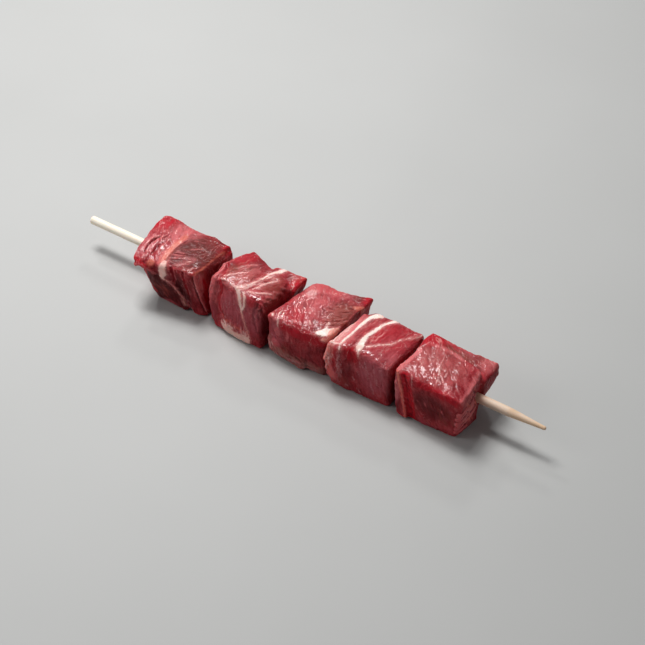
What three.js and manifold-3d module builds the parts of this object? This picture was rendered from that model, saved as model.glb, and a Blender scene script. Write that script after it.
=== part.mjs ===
// A raw lamb kebab: five hand-cut cubes of lamb threaded on one round wooden skewer, lying on a surface.
// Millimetres. X runs along the skewer towards its point, Z is up, and the cubes rest on Z = 0.
// The origin lies on that surface, under the middle of the skewer's length.
import * as THREE from 'three';
import { mergeVertices } from 'three/addons/utils/BufferGeometryUtils.js';
import Module from 'manifold-3d';

// Driving dimensions.
const SKEWER_LENGTH = 250;
const SKEWER_DIAMETER = 4.2;
const SKEWER_HEIGHT = 14; // its axis above the surface
const TAPER_LENGTH = 18; // the sharpened stretch
const TIP_DIAMETER = 1.6;
const TAPER_BELLY = 0.12; // how far the sharpened stretch swells past a straight cone
const BLUNT_CHAMFER = 0.4;
const SKEWER_SIDES = 24;

const CUT_EDGE = 1.9; // how far a knife-cut edge of the meat is rounded
const LOBE_EDGE = 1.6; // the same on a smaller lobe of muscle
const EDGE_STEP = 0.45; // where the middle line of a rounded edge lies, as a share of its radius
const DRAW_OUT = 0.4; // how far corners are drawn past where they show, as a share of the radius
const DRAW_UP = 0.24; // the same, upwards
const SWELL_AT_RIM = 0.5; // the share of a side's swell that is left along its top and bottom
const SURFACE_WAVE = 0.45; // how far the surface of the meat waves in and out
const WAVE_RATES = [0.44, 0.31, 0.33, 0.18]; // radians per millimetre
const WAVE_FADE = 6; // height above the surface at which the waves reach their full size
const BORE_GAP = 0.3; // clear space between the skewer and the meat around it

const MEAT_CELLS = 5; // cells across the flat of a cube's side, besides two round each edge
const LOBE_CELLS = 3;

const wasm = await Module();
wasm.setup();

// A closed geometry as a solid that can be joined and cut.
function solidFrom(geometry) {
  const bare = geometry.clone();
  bare.deleteAttribute('normal');
  bare.deleteAttribute('uv');
  const merged = mergeVertices(bare, 1e-4);
  return new wasm.Manifold(new wasm.Mesh({
    numProp: 3,
    vertProperties: merged.attributes.position.array,
    triVerts: new Uint32Array(merged.index.array),
  }));
}

// A joined or cut solid as a geometry with flat faces.
function geometryFrom(solid) {
  const mesh = solid.getMesh();
  const indexed = new THREE.BufferGeometry();
  indexed.setAttribute('position', new THREE.BufferAttribute(mesh.vertProperties, 3));
  indexed.setIndex(new THREE.BufferAttribute(mesh.triVerts, 1));
  const geometry = indexed.toNonIndexed();
  geometry.computeVertexNormals();
  return geometry;
}

function mix(a, b, t) {
  return a + (b - a) * t;
}

// 0 at both ends of a side and 1 at its middle.
function arch(t) {
  return 4 * t * (1 - t);
}

// Grid lines across one side of a box: two close steps round each edge, even cells between.
function stations(length, edge, cells) {
  const marks = [0, edge * EDGE_STEP];
  for (let i = 0; i <= cells; i += 1) {
    marks.push(mix(edge, length - edge, i / cells));
  }
  marks.push(length - edge * EDGE_STEP, length);
  return marks;
}

// Moves a point of a box's surface onto the same box with rounded edges.
function roundEdge(point, size, edge) {
  const inner = point.clone();
  inner.max(new THREE.Vector3(edge, edge, edge));
  inner.min(size.clone().subScalar(edge));
  const out = point.clone().sub(inner).setLength(edge);
  return inner.add(out);
}

// Corner lists run front left, front right, back right, back left. They say where the rounded
// corners show, so the block itself is drawn a little past them.
const OUTWARD = [[-1, -1], [1, -1], [1, 1], [-1, 1]];
const STRAIGHT = [[0, 0], [0, 0], [0, 0], [0, 0]];

function drawOut(corners, edge) {
  return corners.map(([x, y, z = 0], i) => [
    x + OUTWARD[i][0] * edge * DRAW_OUT,
    y + OUTWARD[i][1] * edge * DRAW_OUT,
    z > 0 ? z + edge * DRAW_UP : 0,
  ]);
}

// The point at parameters u, v, w (0 to 1) of a block with four floor and four crown corners.
// The waist says how far each upright edge bows out halfway up.
function inBlock(floor, crown, waist, u, v, w) {
  const weights = [(1 - u) * (1 - v), u * (1 - v), u * v, (1 - u) * v];
  const point = new THREE.Vector3();
  weights.forEach((weight, i) => {
    point.x += weight * (mix(floor[i][0], crown[i][0], w) + waist[i][0] * arch(w));
    point.y += weight * (mix(floor[i][1], crown[i][1], w) + waist[i][1] * arch(w));
    point.z += weight * mix(0, crown[i][2], w);
  });
  return point;
}

// Two crossed waves over one side.
function ripple(across, up) {
  const [a, b, c, d] = WAVE_RATES;
  return Math.sin(a * across + b * up) * Math.cos(c * up - d * across);
}

// The slow waves of a cut muscle's surface. They die out towards the surface that it rests on.
function wave({ x, y, z }) {
  const shift = new THREE.Vector3(ripple(y, z), ripple(x, z), ripple(x, -y));
  return shift.multiplyScalar(SURFACE_WAVE * THREE.MathUtils.smoothstep(z, 0, WAVE_FADE));
}

// One lobe of muscle: a box with rounded edges, drawn out to eight corners. Each side swells out,
// or draws in where its number is below 0, most at the side's middle.
function lobe({ floor, crown, waist = STRAIGHT, edge = LOBE_EDGE, cells = LOBE_CELLS, swell = {} }) {
  const { left = 0, right = 0, front = 0, back = 0, top = 0 } = swell;
  const base = drawOut(floor, edge);
  const roof = drawOut(crown, edge);
  const size = new THREE.Vector3(
    crown[1][0] - crown[0][0],
    crown[3][1] - crown[0][1],
    crown[0][2],
  );
  const box = new THREE.BoxGeometry(1, 1, 1, cells + 4, cells + 4, cells + 4);
  const lines = ['x', 'y', 'z'].map((axis) => stations(size[axis], edge, cells));
  const places = box.attributes.position;
  const point = new THREE.Vector3();
  for (let i = 0; i < places.count; i += 1) {
    point.fromBufferAttribute(places, i);
    ['x', 'y', 'z'].forEach((axis, k) => {
      point[axis] = lines[k][Math.round((point[axis] + 0.5) * (cells + 4))];
    });
    const { x: u, y: v, z: w } = roundEdge(point, size, edge).divide(size);
    const placed = inBlock(base, roof, waist, u, v, w);
    const bulge = mix(SWELL_AT_RIM, 1, arch(w));
    placed.x += arch(v) * bulge * mix(-left, right, u);
    placed.y += arch(u) * bulge * mix(-front, back, v);
    placed.z += arch(u) * arch(v) * w * top;
    placed.add(wave(placed));
    places.setXYZ(i, placed.x, placed.y, Math.max(placed.z, 0));
  }
  return solidFrom(box);
}

// The skewer: one turned profile, blunt at the left end and sharpened at the right.
function skewerGeometry(extra = 0) {
  const radius = SKEWER_DIAMETER / 2 + extra;
  const half = SKEWER_LENGTH / 2;
  const tip = TIP_DIAMETER / 2;
  const profile = [
    [0, -half],
    [radius - BLUNT_CHAMFER, -half],
    [radius, -half + BLUNT_CHAMFER],
    [radius, half - TAPER_LENGTH],
    [mix(radius, tip, 0.5) + TAPER_BELLY, half - TAPER_LENGTH * 0.5],
    [tip, half - tip],
    [tip * Math.SQRT1_2, half - tip * (1 - Math.SQRT1_2)],
    [0, half],
  ].map(([r, along]) => new THREE.Vector2(r, along));
  const geometry = new THREE.LatheGeometry(profile, SKEWER_SIDES);
  geometry.rotateZ(-Math.PI / 2);
  geometry.translate(0, 0, SKEWER_HEIGHT);
  return geometry;
}

const skewerPath = solidFrom(skewerGeometry(BORE_GAP));

// A cube of meat is one or more lobes of muscle grown together, with the skewer's way cut through.
function meatGeometry(lobes) {
  let meat = lobe({ edge: CUT_EDGE, cells: MEAT_CELLS, ...lobes[0] });
  for (const extra of lobes.slice(1)) {
    meat = meat.add(lobe(extra));
  }
  return geometryFrom(meat.subtract(skewerPath));
}

// Each cube's lobes, the main one first. Cubes are numbered from the skewer's blunt end.
const CUBES = {
  // The top block overhangs a darker muscle below it at the left, and a flap closes the right end.
  meat_cube_1: [
    {
      floor: [[-61, -13], [-50, -13.5], [-50, 12], [-76, 10]],
      crown: [[-83.5, -19.5, 23], [-51, -14.5, 24.6], [-49.2, 11.4, 24.8], [-87.4, 12.2, 25.5]],
      edge: 2.4,
      swell: { left: 3.8, top: 1.2, back: 0.2, front: -1 },
    },
    {
      floor: [[-73, -14.6], [-56, -15], [-57, 10.5], [-81, 10.5]],
      crown: [[-79.6, -17.5, 17], [-60, -15, 16.5], [-62, 11, 18], [-85.5, 11.5, 19]],
      edge: 2.2,
      swell: { front: 0.8, left: 0.6 },
    },
    {
      floor: [[-52, -15], [-46.4, -13], [-46.2, 9], [-54, 9]],
      crown: [[-55, -14, 23.6], [-50.6, -9.3, 24], [-47.8, 11, 22.4], [-55, 11, 23]],
      edge: 1.8,
      swell: { front: 0.6, right: 0.8 },
    },
  ],
  // A paler strip lies along the left side, and the back right corner runs out into a lobe.
  meat_cube_2: [
    {
      floor: [[-40, -15], [-12.4, -16.8], [-12.4, 9], [-39, 10]],
      crown: [[-38.6, -9.6, 25.8], [-13.6, -13.4, 25.4], [-11.5, 5, 25.6], [-37.6, 14.2, 25.8]],
      swell: { front: 1.4, top: 1.2, back: -0.8, right: 1.8 },
    },
    {
      floor: [[-43, -12.6], [-34, -14.5], [-35, 9.5], [-42, 7]],
      crown: [[-43.6, -7.6, 24.6], [-37.5, -9.3, 25.2], [-37, 13.4, 25.8], [-43.6, 3.6, 25.2]],
      waist: [[-1.8, -1.2], [0, 0], [0, 0], [-0.4, 0]],
      swell: { front: 1 },
    },
    {
      floor: [[-22, -2], [-12, -2], [-11.5, 10.5], [-22, 9.5]],
      crown: [[-22, 1, 24.4], [-6.6, 5, 24], [-5.8, 12.6, 24.8], [-22, 10.8, 26]],
      waist: [[0, 0], [-0.4, -2.4], [-0.8, 0], [0, 0]],
      swell: { right: -0.4 },
    },
  ],
  // Full at the front and low at the left, with a sharp corner drawn out at the back right.
  meat_cube_3: [
    {
      floor: [[-8.6, -13], [21.4, -14.4], [22.5, 17.6], [-5.4, 17.6]],
      crown: [[-9, -14.4, 21.6], [22.7, -12, 21.8], [25.6, 20.6, 22.4], [-3.4, 16.8, 21.2]],
      waist: [[0, 0], [-1.4, 0], [-0.6, -1], [0.8, 0]],
      swell: { front: 2.2, left: 0.6, right: -0.4, top: 1.2, back: -2.4 },
    },
    {
      floor: [[-8.8, -14], [12, -16.6], [12, 0], [-6, 2]],
      crown: [[-9.4, -14.4, 9], [12, -15.8, 10], [12, 0, 10], [-7, 2, 10]],
      swell: { front: 1.4 },
    },
  ],
  // Two muscles meet at a shallow crease a third of the way along.
  meat_cube_4: [
    {
      floor: [[34, -15.8], [56, -15.2], [55.5, 12.2], [32, 12.2]],
      crown: [[33.5, -12, 24], [54.6, -14.6, 21.8], [57, 12.3, 22.6], [31, 12.4, 23]],
      swell: { front: 0.8, top: 1.4, back: 0.4, right: 0.2 },
    },
    {
      floor: [[27, -16], [38, -16], [40, 12.2], [29, 11]],
      crown: [[24.4, -15, 22.2], [37, -12, 24], [40, 12.4, 23.2], [27.6, 10.2, 22.4]],
      waist: [[-2.5, -1.6], [0, 0], [0, 0], [0.6, 0]],
      edge: 1.8,
      cells: 4,
      swell: { left: 1, front: 1.2, top: 0.6 },
    },
  ],
  // A thin fin stands at the front left, and a low lobe runs out at the back right.
  meat_cube_5: [
    {
      floor: [[67, -15.6], [89.2, -14.2], [91.8, -1], [64, 14]],
      crown: [[60, -13.4, 23.8], [91.8, -15, 23.2], [89.2, 5.4, 23.6], [59.4, 15.4, 24.8]],
      swell: { top: 1.4, front: 0.5, left: 0.8, right: 0.8 },
    },
    {
      floor: [[60.5, -16], [66.4, -17], [67, 8], [61.5, 10]],
      crown: [[58.2, -12, 23.6], [62, -13.4, 24], [64, 9, 24], [59.5, 13, 23.6]],
      waist: [[-1, 0], [0, 0], [0, 0], [0, 0]],
      edge: 1.2,
    },
    {
      floor: [[70, -2], [88, 1], [82, 14], [63, 14.5]],
      crown: [[70, 2, 21], [91.4, 4, 21], [92.8, 16.2, 22], [60.4, 15.8, 23]],
      waist: [[0, 0], [2, 0], [3.4, 0], [0, 0]],
      cells: 4,
      swell: { right: 0.6, back: -1.8 },
    },
  ],
};

const WOOD = { color: 0xd9b48a, roughness: 0.7, metalness: 0 };
const RAW_LAMB = { color: 0x9c3a3f, roughness: 0.35, metalness: 0 };

function named(name, geometry, finish) {
  const mesh = new THREE.Mesh(geometry, new THREE.MeshStandardMaterial(finish));
  mesh.name = name;
  return mesh;
}

const kebab = new THREE.Group();
kebab.add(named('skewer', skewerGeometry(), WOOD));
for (const [name, lobes] of Object.entries(CUBES)) {
  kebab.add(named(name, meatGeometry(lobes), RAW_LAMB));
}

export default kebab;
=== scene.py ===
# %% [markdown]
# # A raw lamb kebab
# Five hand-cut cubes of lamb sit side by side on a round wooden skewer. A solid model fixes every
# size and place; this lesson dresses it. The skewer is grown again by a node tree, and each cube of
# meat gets a fine skin of its own, with its seams of fat, its grain and its wet shine.
# All sizes below are millimetres until a mesh is written, because a cook thinks in them.
# %% Load the solid model
import math

import bpy
import numpy as np
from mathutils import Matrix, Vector
from mathutils.bvhtree import BVHTree


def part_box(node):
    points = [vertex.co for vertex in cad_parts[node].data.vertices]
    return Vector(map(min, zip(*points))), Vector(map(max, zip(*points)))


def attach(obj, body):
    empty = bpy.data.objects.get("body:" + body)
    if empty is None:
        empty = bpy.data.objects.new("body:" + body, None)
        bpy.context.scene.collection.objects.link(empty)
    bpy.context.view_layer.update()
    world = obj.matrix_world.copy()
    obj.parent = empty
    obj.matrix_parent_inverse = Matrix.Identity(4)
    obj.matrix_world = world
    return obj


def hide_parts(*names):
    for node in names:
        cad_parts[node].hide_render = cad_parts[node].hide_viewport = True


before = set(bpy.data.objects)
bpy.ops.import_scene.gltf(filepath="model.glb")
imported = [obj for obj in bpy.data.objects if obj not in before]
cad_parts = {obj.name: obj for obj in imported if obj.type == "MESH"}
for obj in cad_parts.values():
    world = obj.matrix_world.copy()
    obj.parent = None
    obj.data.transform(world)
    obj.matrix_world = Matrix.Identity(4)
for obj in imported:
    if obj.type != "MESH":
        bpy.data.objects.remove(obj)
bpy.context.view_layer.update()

MM = 0.001
CUBES = sorted(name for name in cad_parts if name.startswith("meat_cube"))
print("cubes:", CUBES)

# %% [markdown]
# ## The camera
# The kebab is seen from its front right, a good way above the table, through a long lens that keeps
# the far cubes nearly as large as the near ones. A camera can follow a target by a constraint. Here
# two angles and a distance from the middle of the skewer place it, because they can be read and
# changed one by one. It has no depth of field, so every cube is sharp.
# %% Camera
LENS = 85
TURN, TILT = math.radians(33.785), math.radians(43.49)
DISTANCE, AIM_RIGHT, AIM_UP = 696.34, 8.98, -2.65

right = Vector((math.cos(TURN), math.sin(TURN), 0))
back = Vector((math.sin(TURN) * math.cos(TILT), -math.cos(TURN) * math.cos(TILT), math.sin(TILT)))
skewer_low, skewer_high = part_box("skewer")
aim = (skewer_low + skewer_high) / 2 + (right * AIM_RIGHT + back.cross(right) * AIM_UP) * MM

camera = bpy.data.objects.new("camera", bpy.data.cameras.new("camera"))
camera.data.lens = LENS
camera.location = aim + back * DISTANCE * MM
camera.rotation_mode = "QUATERNION"
camera.rotation_quaternion = (-back).to_track_quat("-Z", "Y")
bpy.context.collection.objects.link(camera)
bpy.context.scene.camera = camera
print("camera at, mm:", [round(v / MM) for v in camera.location])

# %% [markdown]
# ## Wiring nodes
# Materials and Geometry Nodes are both trees of nodes. They can be wired by hand on the screen; these
# helpers do it in text, so that a tree reads like a recipe. Each adds one node with its options, and
# sets or links its inputs in the same call. A node that handles several kinds of data has a socket
# for each and switches the others off, so `live` looks for one that is on.
# %% Helpers for node trees
def live(sockets, name=None):
    """The first socket that is switched on, of the given name if there is one."""
    return next(socket for socket in sockets if socket.enabled and name in (None, socket.name))


def feed(tree, socket, value):
    """Links a node or a socket to an input, or sets any other value on it."""
    if isinstance(value, bpy.types.Node):
        value = live(value.outputs)
    if isinstance(value, bpy.types.NodeSocket):
        tree.links.new(value, socket)
    else:
        socket.default_value = value


def add(tree, kind, inputs=None, **options):
    """Adds a node of a kind, with its options and inputs."""
    node = tree.nodes.new(kind)
    for name, value in options.items():
        setattr(node, name, value)
    for key, value in (inputs or {}).items():
        feed(tree, node.inputs[key], value)
    return node


# %% [markdown]
# On top of them stand short words for what a recipe does most: sums, a ramp from one value to
# another, noise, and one colour over another. Long chains of nodes then stay readable.
# %% Helpers for numbers, patterns and colours
def calc(tree, operation, *values):
    """One step of arithmetic."""
    return add(tree, "ShaderNodeMath", dict(enumerate(values)), operation=operation)


def total(tree, *values):
    """Adds up any number of values."""
    first, *others = values
    for value in others:
        first = calc(tree, "ADD", first, value)
    return first


def product(tree, *values):
    """Multiplies any number of values."""
    first, *others = values
    for value in others:
        first = calc(tree, "MULTIPLY", first, value)
    return first


def ramp(tree, value, low, high, start=0.0, end=1.0, smooth=True):
    """Turns a value between low and high into one between start and end, and holds it beyond."""
    inputs = {"Value": value, "From Min": low, "From Max": high, "To Min": start, "To Max": end}
    kind = "SMOOTHSTEP" if smooth else "LINEAR"
    return add(tree, "ShaderNodeMapRange", inputs, interpolation_type=kind)


def stretch(tree, vector, sizes):
    """Scales a vector, which stretches any pattern read at it."""
    return add(tree, "ShaderNodeVectorMath", {0: vector, 1: sizes}, operation="MULTIPLY")


def speckle(tree, vector, scale, detail=2.0, roughness=0.5, seed=0.0):
    """Random cloudiness between 0 and 1. The scale is in patches for each unit of the vector."""
    inputs = {"Vector": vector, "W": seed, "Scale": scale, "Detail": detail, "Roughness": roughness}
    return add(tree, "ShaderNodeTexNoise", inputs, noise_dimensions="4D")


BELOW, ABOVE, BLENDED = 6, 7, 2


def blend(tree, amount, below, above, mode="MIX"):
    """Lays one colour over another. The mixing node's colour sockets are known by number."""
    node = add(tree, "ShaderNodeMix", {0: amount}, data_type="RGBA", blend_type=mode)
    for index, colour in ((BELOW, below), (ABOVE, above)):
        feed(tree, node.inputs[index], (*colour, 1) if isinstance(colour, tuple) else colour)
    return node.outputs[BLENDED]


def new_finish(name):
    """A material with an empty Principled shader. Returns it, its tree and the shader."""
    finish = bpy.data.materials.new(name)
    finish.use_nodes = True
    return finish, finish.node_tree, finish.node_tree.nodes["Principled BSDF"]


def set_shader(tree, shader, inputs):
    """Links or sets many inputs of the shader at once."""
    for key, value in inputs.items():
        feed(tree, shader.inputs[key], value)
    print("shader inputs:", len(inputs), "nodes:", len(tree.nodes))


# %% [markdown]
# A Geometry Nodes tree gets named inputs for its sizes. It could stay on a piece as a live modifier;
# here `grow` runs it and keeps the result as a plain mesh, because a finished piece has to stand
# alone. Nodes that store, average or move points come up in several trees, so they get helpers too.
# %% Helpers for Geometry Nodes
def new_tree(name, sizes):
    """A Geometry Nodes tree with one named input for each size. Returns it and its inputs."""
    tree = bpy.data.node_groups.new(name, "GeometryNodeTree")
    tree.interface.new_socket("Geometry", in_out="INPUT", socket_type="NodeSocketGeometry")
    tree.interface.new_socket("Geometry", in_out="OUTPUT", socket_type="NodeSocketGeometry")
    for size, start in sizes.items():
        kind = "NodeSocketInt" if isinstance(start, int) else "NodeSocketFloat"
        socket = tree.interface.new_socket(size, in_out="INPUT", socket_type=kind)
        socket.default_value = start
    return tree, tree.nodes.new("NodeGroupInput").outputs


def store(tree, geometry, name, value):
    """Writes a value on every point of a mesh, as an attribute with a name."""
    node = add(tree, "GeometryNodeStoreNamedAttribute", {"Geometry": geometry, "Name": name},
               data_type="FLOAT", domain="POINT")
    feed(tree, live(node.inputs, "Value"), value)
    return node


def averaged(tree, value, kind, **inputs):
    """A value averaged with that of the neighbouring points, again and again."""
    node = add(tree, "GeometryNodeBlurAttribute", inputs, data_type=kind)
    feed(tree, live(node.inputs, "Value"), value)
    return node


def moved(tree, geometry, height):
    """Moves every point along its normal by a height in metres."""
    outward = add(tree, "GeometryNodeInputNormal")
    offset = add(tree, "ShaderNodeVectorMath", {0: outward, "Scale": height}, operation="SCALE")
    return add(tree, "GeometryNodeSetPosition", {"Geometry": geometry, "Offset": offset})


def end_tree(tree, geometry, finish):
    """Closes a tree: shades it smooth, makes instances real and sets the material."""
    smooth = add(tree, "GeometryNodeSetShadeSmooth", {"Geometry": geometry})
    real = add(tree, "GeometryNodeRealizeInstances", {"Geometry": smooth})
    coated = add(tree, "GeometryNodeSetMaterial", {"Geometry": real, "Material": finish})
    tree.links.new(coated.outputs[0], tree.nodes.new("NodeGroupOutput").inputs[0])
    print(tree.name + ", nodes:", len(tree.nodes))


# %% [markdown]
# A modifier knows its inputs by identifier and not by name, so `grow` looks the names up first. The
# modifier is gone again before the piece is used.
# %% Growing a piece
def new_piece(name, mesh=None):
    """A new object in the scene, empty unless it is given a mesh."""
    piece = bpy.data.objects.new(name, mesh or bpy.data.meshes.new(name))
    bpy.context.collection.objects.link(piece)
    return piece


def keep_result(piece):
    """Replaces a piece's mesh by what its modifiers make of it, and removes the modifiers."""
    graph = bpy.context.evaluated_depsgraph_get()
    made = bpy.data.meshes.new_from_object(
        piece.evaluated_get(graph), preserve_all_data_layers=True, depsgraph=graph)
    piece.modifiers.clear()
    piece.data = made


def grow(piece, tree, **sizes):
    """Runs a tree on a piece and keeps the result as the piece's own mesh."""
    modifier = piece.modifiers.new(tree.name, "NODES")
    modifier.node_group = tree
    for socket in tree.interface.items_tree:
        key = socket.name.lower().replace(" ", "_")
        if socket.in_out == "INPUT" and key in sizes:
            modifier[socket.identifier] = sizes[key]
    keep_result(piece)


# %% [markdown]
# ## The table and the light
# The kebab lies on a plain pale table top, a wide square whose far edge is out of view. Its grey is
# a little uneven, so that it doesn't look like empty space.
# %% Floor
FLOOR_HALF = 3.0
CORNERS = (-1, -1), (1, -1), (1, 1), (-1, 1)
floor = new_piece("floor")
floor.data.from_pydata([(x * FLOOR_HALF, y * FLOOR_HALF, 0) for x, y in CORNERS], [], [(0, 1, 2, 3)])
pale_table, tree, shader = new_finish("pale_table")
cloud = speckle(tree, add(tree, "ShaderNodeTexCoord").outputs["Object"], 9.0, detail=3.0)
set_shader(tree, shader, {
    "Base Color": blend(tree, cloud, (0.42, 0.42, 0.41), (0.46, 0.46, 0.45)), "Roughness": 0.6,
})
floor.data.materials.append(pale_table)

# %% [markdown]
# The light comes mostly from behind and from the left, high up: a large soft lamp there, like a
# window, brightens the tops and leaves the fronts dark. Three small lamps near it are mirrored by
# the wet ridges as short, bright sparks, because a glint shows the lamp itself. Two weak fills and a
# dim sky keep the shadows readable. One even sky would be simpler, but it would flatten the cubes.
# %% Lamps and sky
def lamp(name, turn, height, distance, size, power):
    """A square soft lamp aimed at the kebab. Turn 0 stands in front of it, 90 at its right."""
    a, e = math.radians(turn), math.radians(height)
    away = Vector((math.sin(a) * math.cos(e), -math.cos(a) * math.cos(e), math.sin(e)))
    light = bpy.data.lights.new(name, "AREA")
    light.size = size
    light.energy = power
    holder = bpy.data.objects.new(name, light)
    holder.location = away * distance
    holder.rotation_mode = "QUATERNION"
    holder.rotation_quaternion = away.to_track_quat("Z", "Y")
    bpy.context.collection.objects.link(holder)
    print(name, "watts:", power)


lamp("window", turn=-118, height=62, distance=0.9, size=0.30, power=6.8)
lamp("high_spark", turn=-140, height=72, distance=0.9, size=0.07, power=0.9)
lamp("low_spark", turn=-152, height=34, distance=0.9, size=0.10, power=0.8)
lamp("side_spark", turn=-124, height=40, distance=0.9, size=0.08, power=0.8)
lamp("left_fill", turn=-50, height=32, distance=1.0, size=0.5, power=2.5)
lamp("right_fill", turn=95, height=38, distance=1.0, size=0.5, power=0.7)

sky = bpy.data.worlds.new("dim_sky")
sky.use_nodes = True
background = sky.node_tree.nodes["Background"]
set_shader(sky.node_tree, background, {"Color": (0.9, 0.95, 1, 1), "Strength": 0.08})
bpy.context.scene.world = sky
bpy.context.scene.view_settings.view_transform = "Standard"

# %% [markdown]
# ## The wood
# The skewer is planed birch: pale cream, with fine darker lines that run its whole length. Where it
# leaves the meat it is damp and pink, and where it was sharpened the cut shows warmer end grain.
# A picture of wood could be wrapped round it. Noise stretched along the skewer does the same with no
# picture and no seam, and the damp and the cut are told by the place along it.
# %% Birch finish
birch, tree, shader = new_finish("pale_birch")
place = add(tree, "ShaderNodeTexCoord").outputs["Object"]
place = stretch(tree, place, (1 / MM,) * 3)
along = add(tree, "ShaderNodeSeparateXYZ", {0: place}).outputs[0]
lines = speckle(tree, stretch(tree, place, (0.03, 1, 1)), 2.6, detail=3.0, roughness=0.6)
pores = speckle(tree, stretch(tree, place, (0.12, 1, 1)), 7.0, detail=1.0)
patchy = speckle(tree, stretch(tree, place, (0.2, 0.5, 0.5)), 0.35)

TAPER = 18
taper_start = skewer_high.x / MM - TAPER
meat_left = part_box(CUBES[0])[0].x / MM
meat_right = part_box(CUBES[-1])[1].x / MM
print("meat from", round(meat_left, 1), "to", round(meat_right, 1), "taper from", round(taper_start, 1))

wood = blend(tree, ramp(tree, lines, 0.35, 0.68), (0.97, 0.90, 0.79), (0.90, 0.77, 0.60))
wood = blend(tree, ramp(tree, pores, 0.62, 0.8, end=0.35), wood, (0.50, 0.32, 0.18))
wood = blend(tree, ramp(tree, patchy, 0.45, 0.7, end=0.3), wood, (0.74, 0.55, 0.38))
# painted shade: from the middle of the skewer to just past the meat, the wood is painted warmer and darker
# towards the right
wood = blend(tree, ramp(tree, along, 0, meat_right + 8, end=0.75), wood, (0.72, 0.50, 0.36))
cut = product(tree, ramp(tree, along, taper_start - 1, taper_start + 3),
              ramp(tree, patchy, 0.4, 0.62, end=0.55))
wood = blend(tree, cut, wood, (0.66, 0.42, 0.22))
from_middle = calc(tree, "ABSOLUTE", calc(tree, "SUBTRACT", along, (meat_left + meat_right) / 2))
meat_end = (meat_right - meat_left) / 2
damp = product(tree, ramp(tree, from_middle, meat_end + 4, meat_end - 2, end=0.7),
               ramp(tree, lines, 0.2, 0.7, start=0.75))
wood = blend(tree, damp, wood, (0.55, 0.24, 0.16))
rough = {"Height": lines, "Strength": 0.35, "Distance": 0.06 * MM}
set_shader(tree, shader, {
    "Base Color": wood, "Roughness": ramp(tree, lines, 0.3, 0.7, 0.5, 0.62),
    "Subsurface Weight": 0.15, "Subsurface Radius": (1.0, 0.6, 0.35), "Subsurface Scale": 0.8 * MM,
    "Normal": add(tree, "ShaderNodeBump", rough),
})

# %% [markdown]
# ## The skewer
# A turned dowel could be a cylinder with a cone at its end, but those meet in a hard ring. It follows
# a rule: a line with a radius at each place along it. So a node tree makes it. The radius starts a
# little small at the blunt end, where the corner is sanded off, stays even, and falls over the
# sharpened stretch to a rounded tip. A slow ripple of a few hundredths keeps the planed wood from
# looking like a machine part.
# %% Skewer tree: the line and its radius
tree, inputs = new_tree("sharpened dowel", {
    "Start X": 0.0, "Length": 250.0, "Diameter": 4.2, "Height": 14.0, "Taper": 18.0,
    "Tip Diameter": 1.6, "Sanded Corner": 0.5, "Ripple": 0.16, "Rings": 900, "Sides": 40, "Seed": 3.0,
})
ends = []
for x in (inputs["Start X"], calc(tree, "ADD", inputs["Start X"], inputs["Length"])):
    point = add(tree, "ShaderNodeCombineXYZ", {"X": x, "Y": 0.0, "Z": inputs["Height"]})
    ends.append(stretch(tree, point, (MM,) * 3))
line = add(tree, "GeometryNodeCurvePrimitiveLine", {"Start": ends[0], "End": ends[1]})
line = add(tree, "GeometryNodeResampleCurve", {"Curve": line, "Count": inputs["Rings"]})

THINNEST = 0.02
travelled = add(tree, "GeometryNodeSplineParameter").outputs["Length"]
travelled = calc(tree, "DIVIDE", travelled, MM)
left_over = calc(tree, "SUBTRACT", inputs["Length"], travelled)
full = calc(tree, "MULTIPLY", inputs["Diameter"], 0.5)
tip = calc(tree, "MULTIPLY", inputs["Tip Diameter"], 0.5)
cone = ramp(tree, left_over, 0.0, inputs["Taper"], tip, full, smooth=False)
to_tip = calc(tree, "MINIMUM", calc(tree, "DIVIDE", left_over, tip), 1.0)
round_tip = calc(tree, "SQRT", product(tree, to_tip, calc(tree, "SUBTRACT", 2.0, to_tip)))
lost = ramp(tree, travelled, 0.0, inputs["Sanded Corner"], inputs["Sanded Corner"], 0.0)
radius = calc(tree, "SUBTRACT", product(tree, cone, round_tip), lost)
radius = product(tree, calc(tree, "MAXIMUM", radius, THINNEST), MM)

# %% [markdown]
# A circle is swept along the line and scaled by the radius, and both ends are capped, so the dowel
# is closed. The ripple moves its points in and out a little.
# %% Skewer tree: the dowel round the line
line = add(tree, "GeometryNodeSetCurveRadius", {"Curve": line, "Radius": radius})
section = add(tree, "GeometryNodeCurvePrimitiveCircle", {"Resolution": inputs["Sides"], "Radius": 1.0})
dowel = add(tree, "GeometryNodeCurveToMesh",
            {"Curve": line, "Profile Curve": section, "Scale": radius, "Fill Caps": True})
place = add(tree, "GeometryNodeInputPosition")
ripple = speckle(tree, stretch(tree, place, (60, 400, 400)), 1.0, seed=inputs["Seed"])
ripple = product(tree, calc(tree, "SUBTRACT", ripple, 0.5), inputs["Ripple"], MM)
end_tree(tree, moved(tree, dowel, ripple), birch)

# %% [markdown]
# The sizes come from the solid skewer's box, so the dowel fits its solid. It rides on the kebab's
# one body, and stands for the solid in every picture.
# %% Skewer
skewer = new_piece("wooden_skewer")
grow(
    skewer, tree,
    start_x=skewer_low.x / MM,
    length=(skewer_high.x - skewer_low.x) / MM,
    diameter=(skewer_high.z - skewer_low.z) / MM,
    height=(skewer_low.z + skewer_high.z) / 2 / MM,
    taper=float(TAPER),
)
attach(skewer, "root")
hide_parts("skewer")
print("skewer, faces:", len(skewer.data.polygons), "mm:", [round(v / MM, 2) for v in skewer.dimensions])
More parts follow.
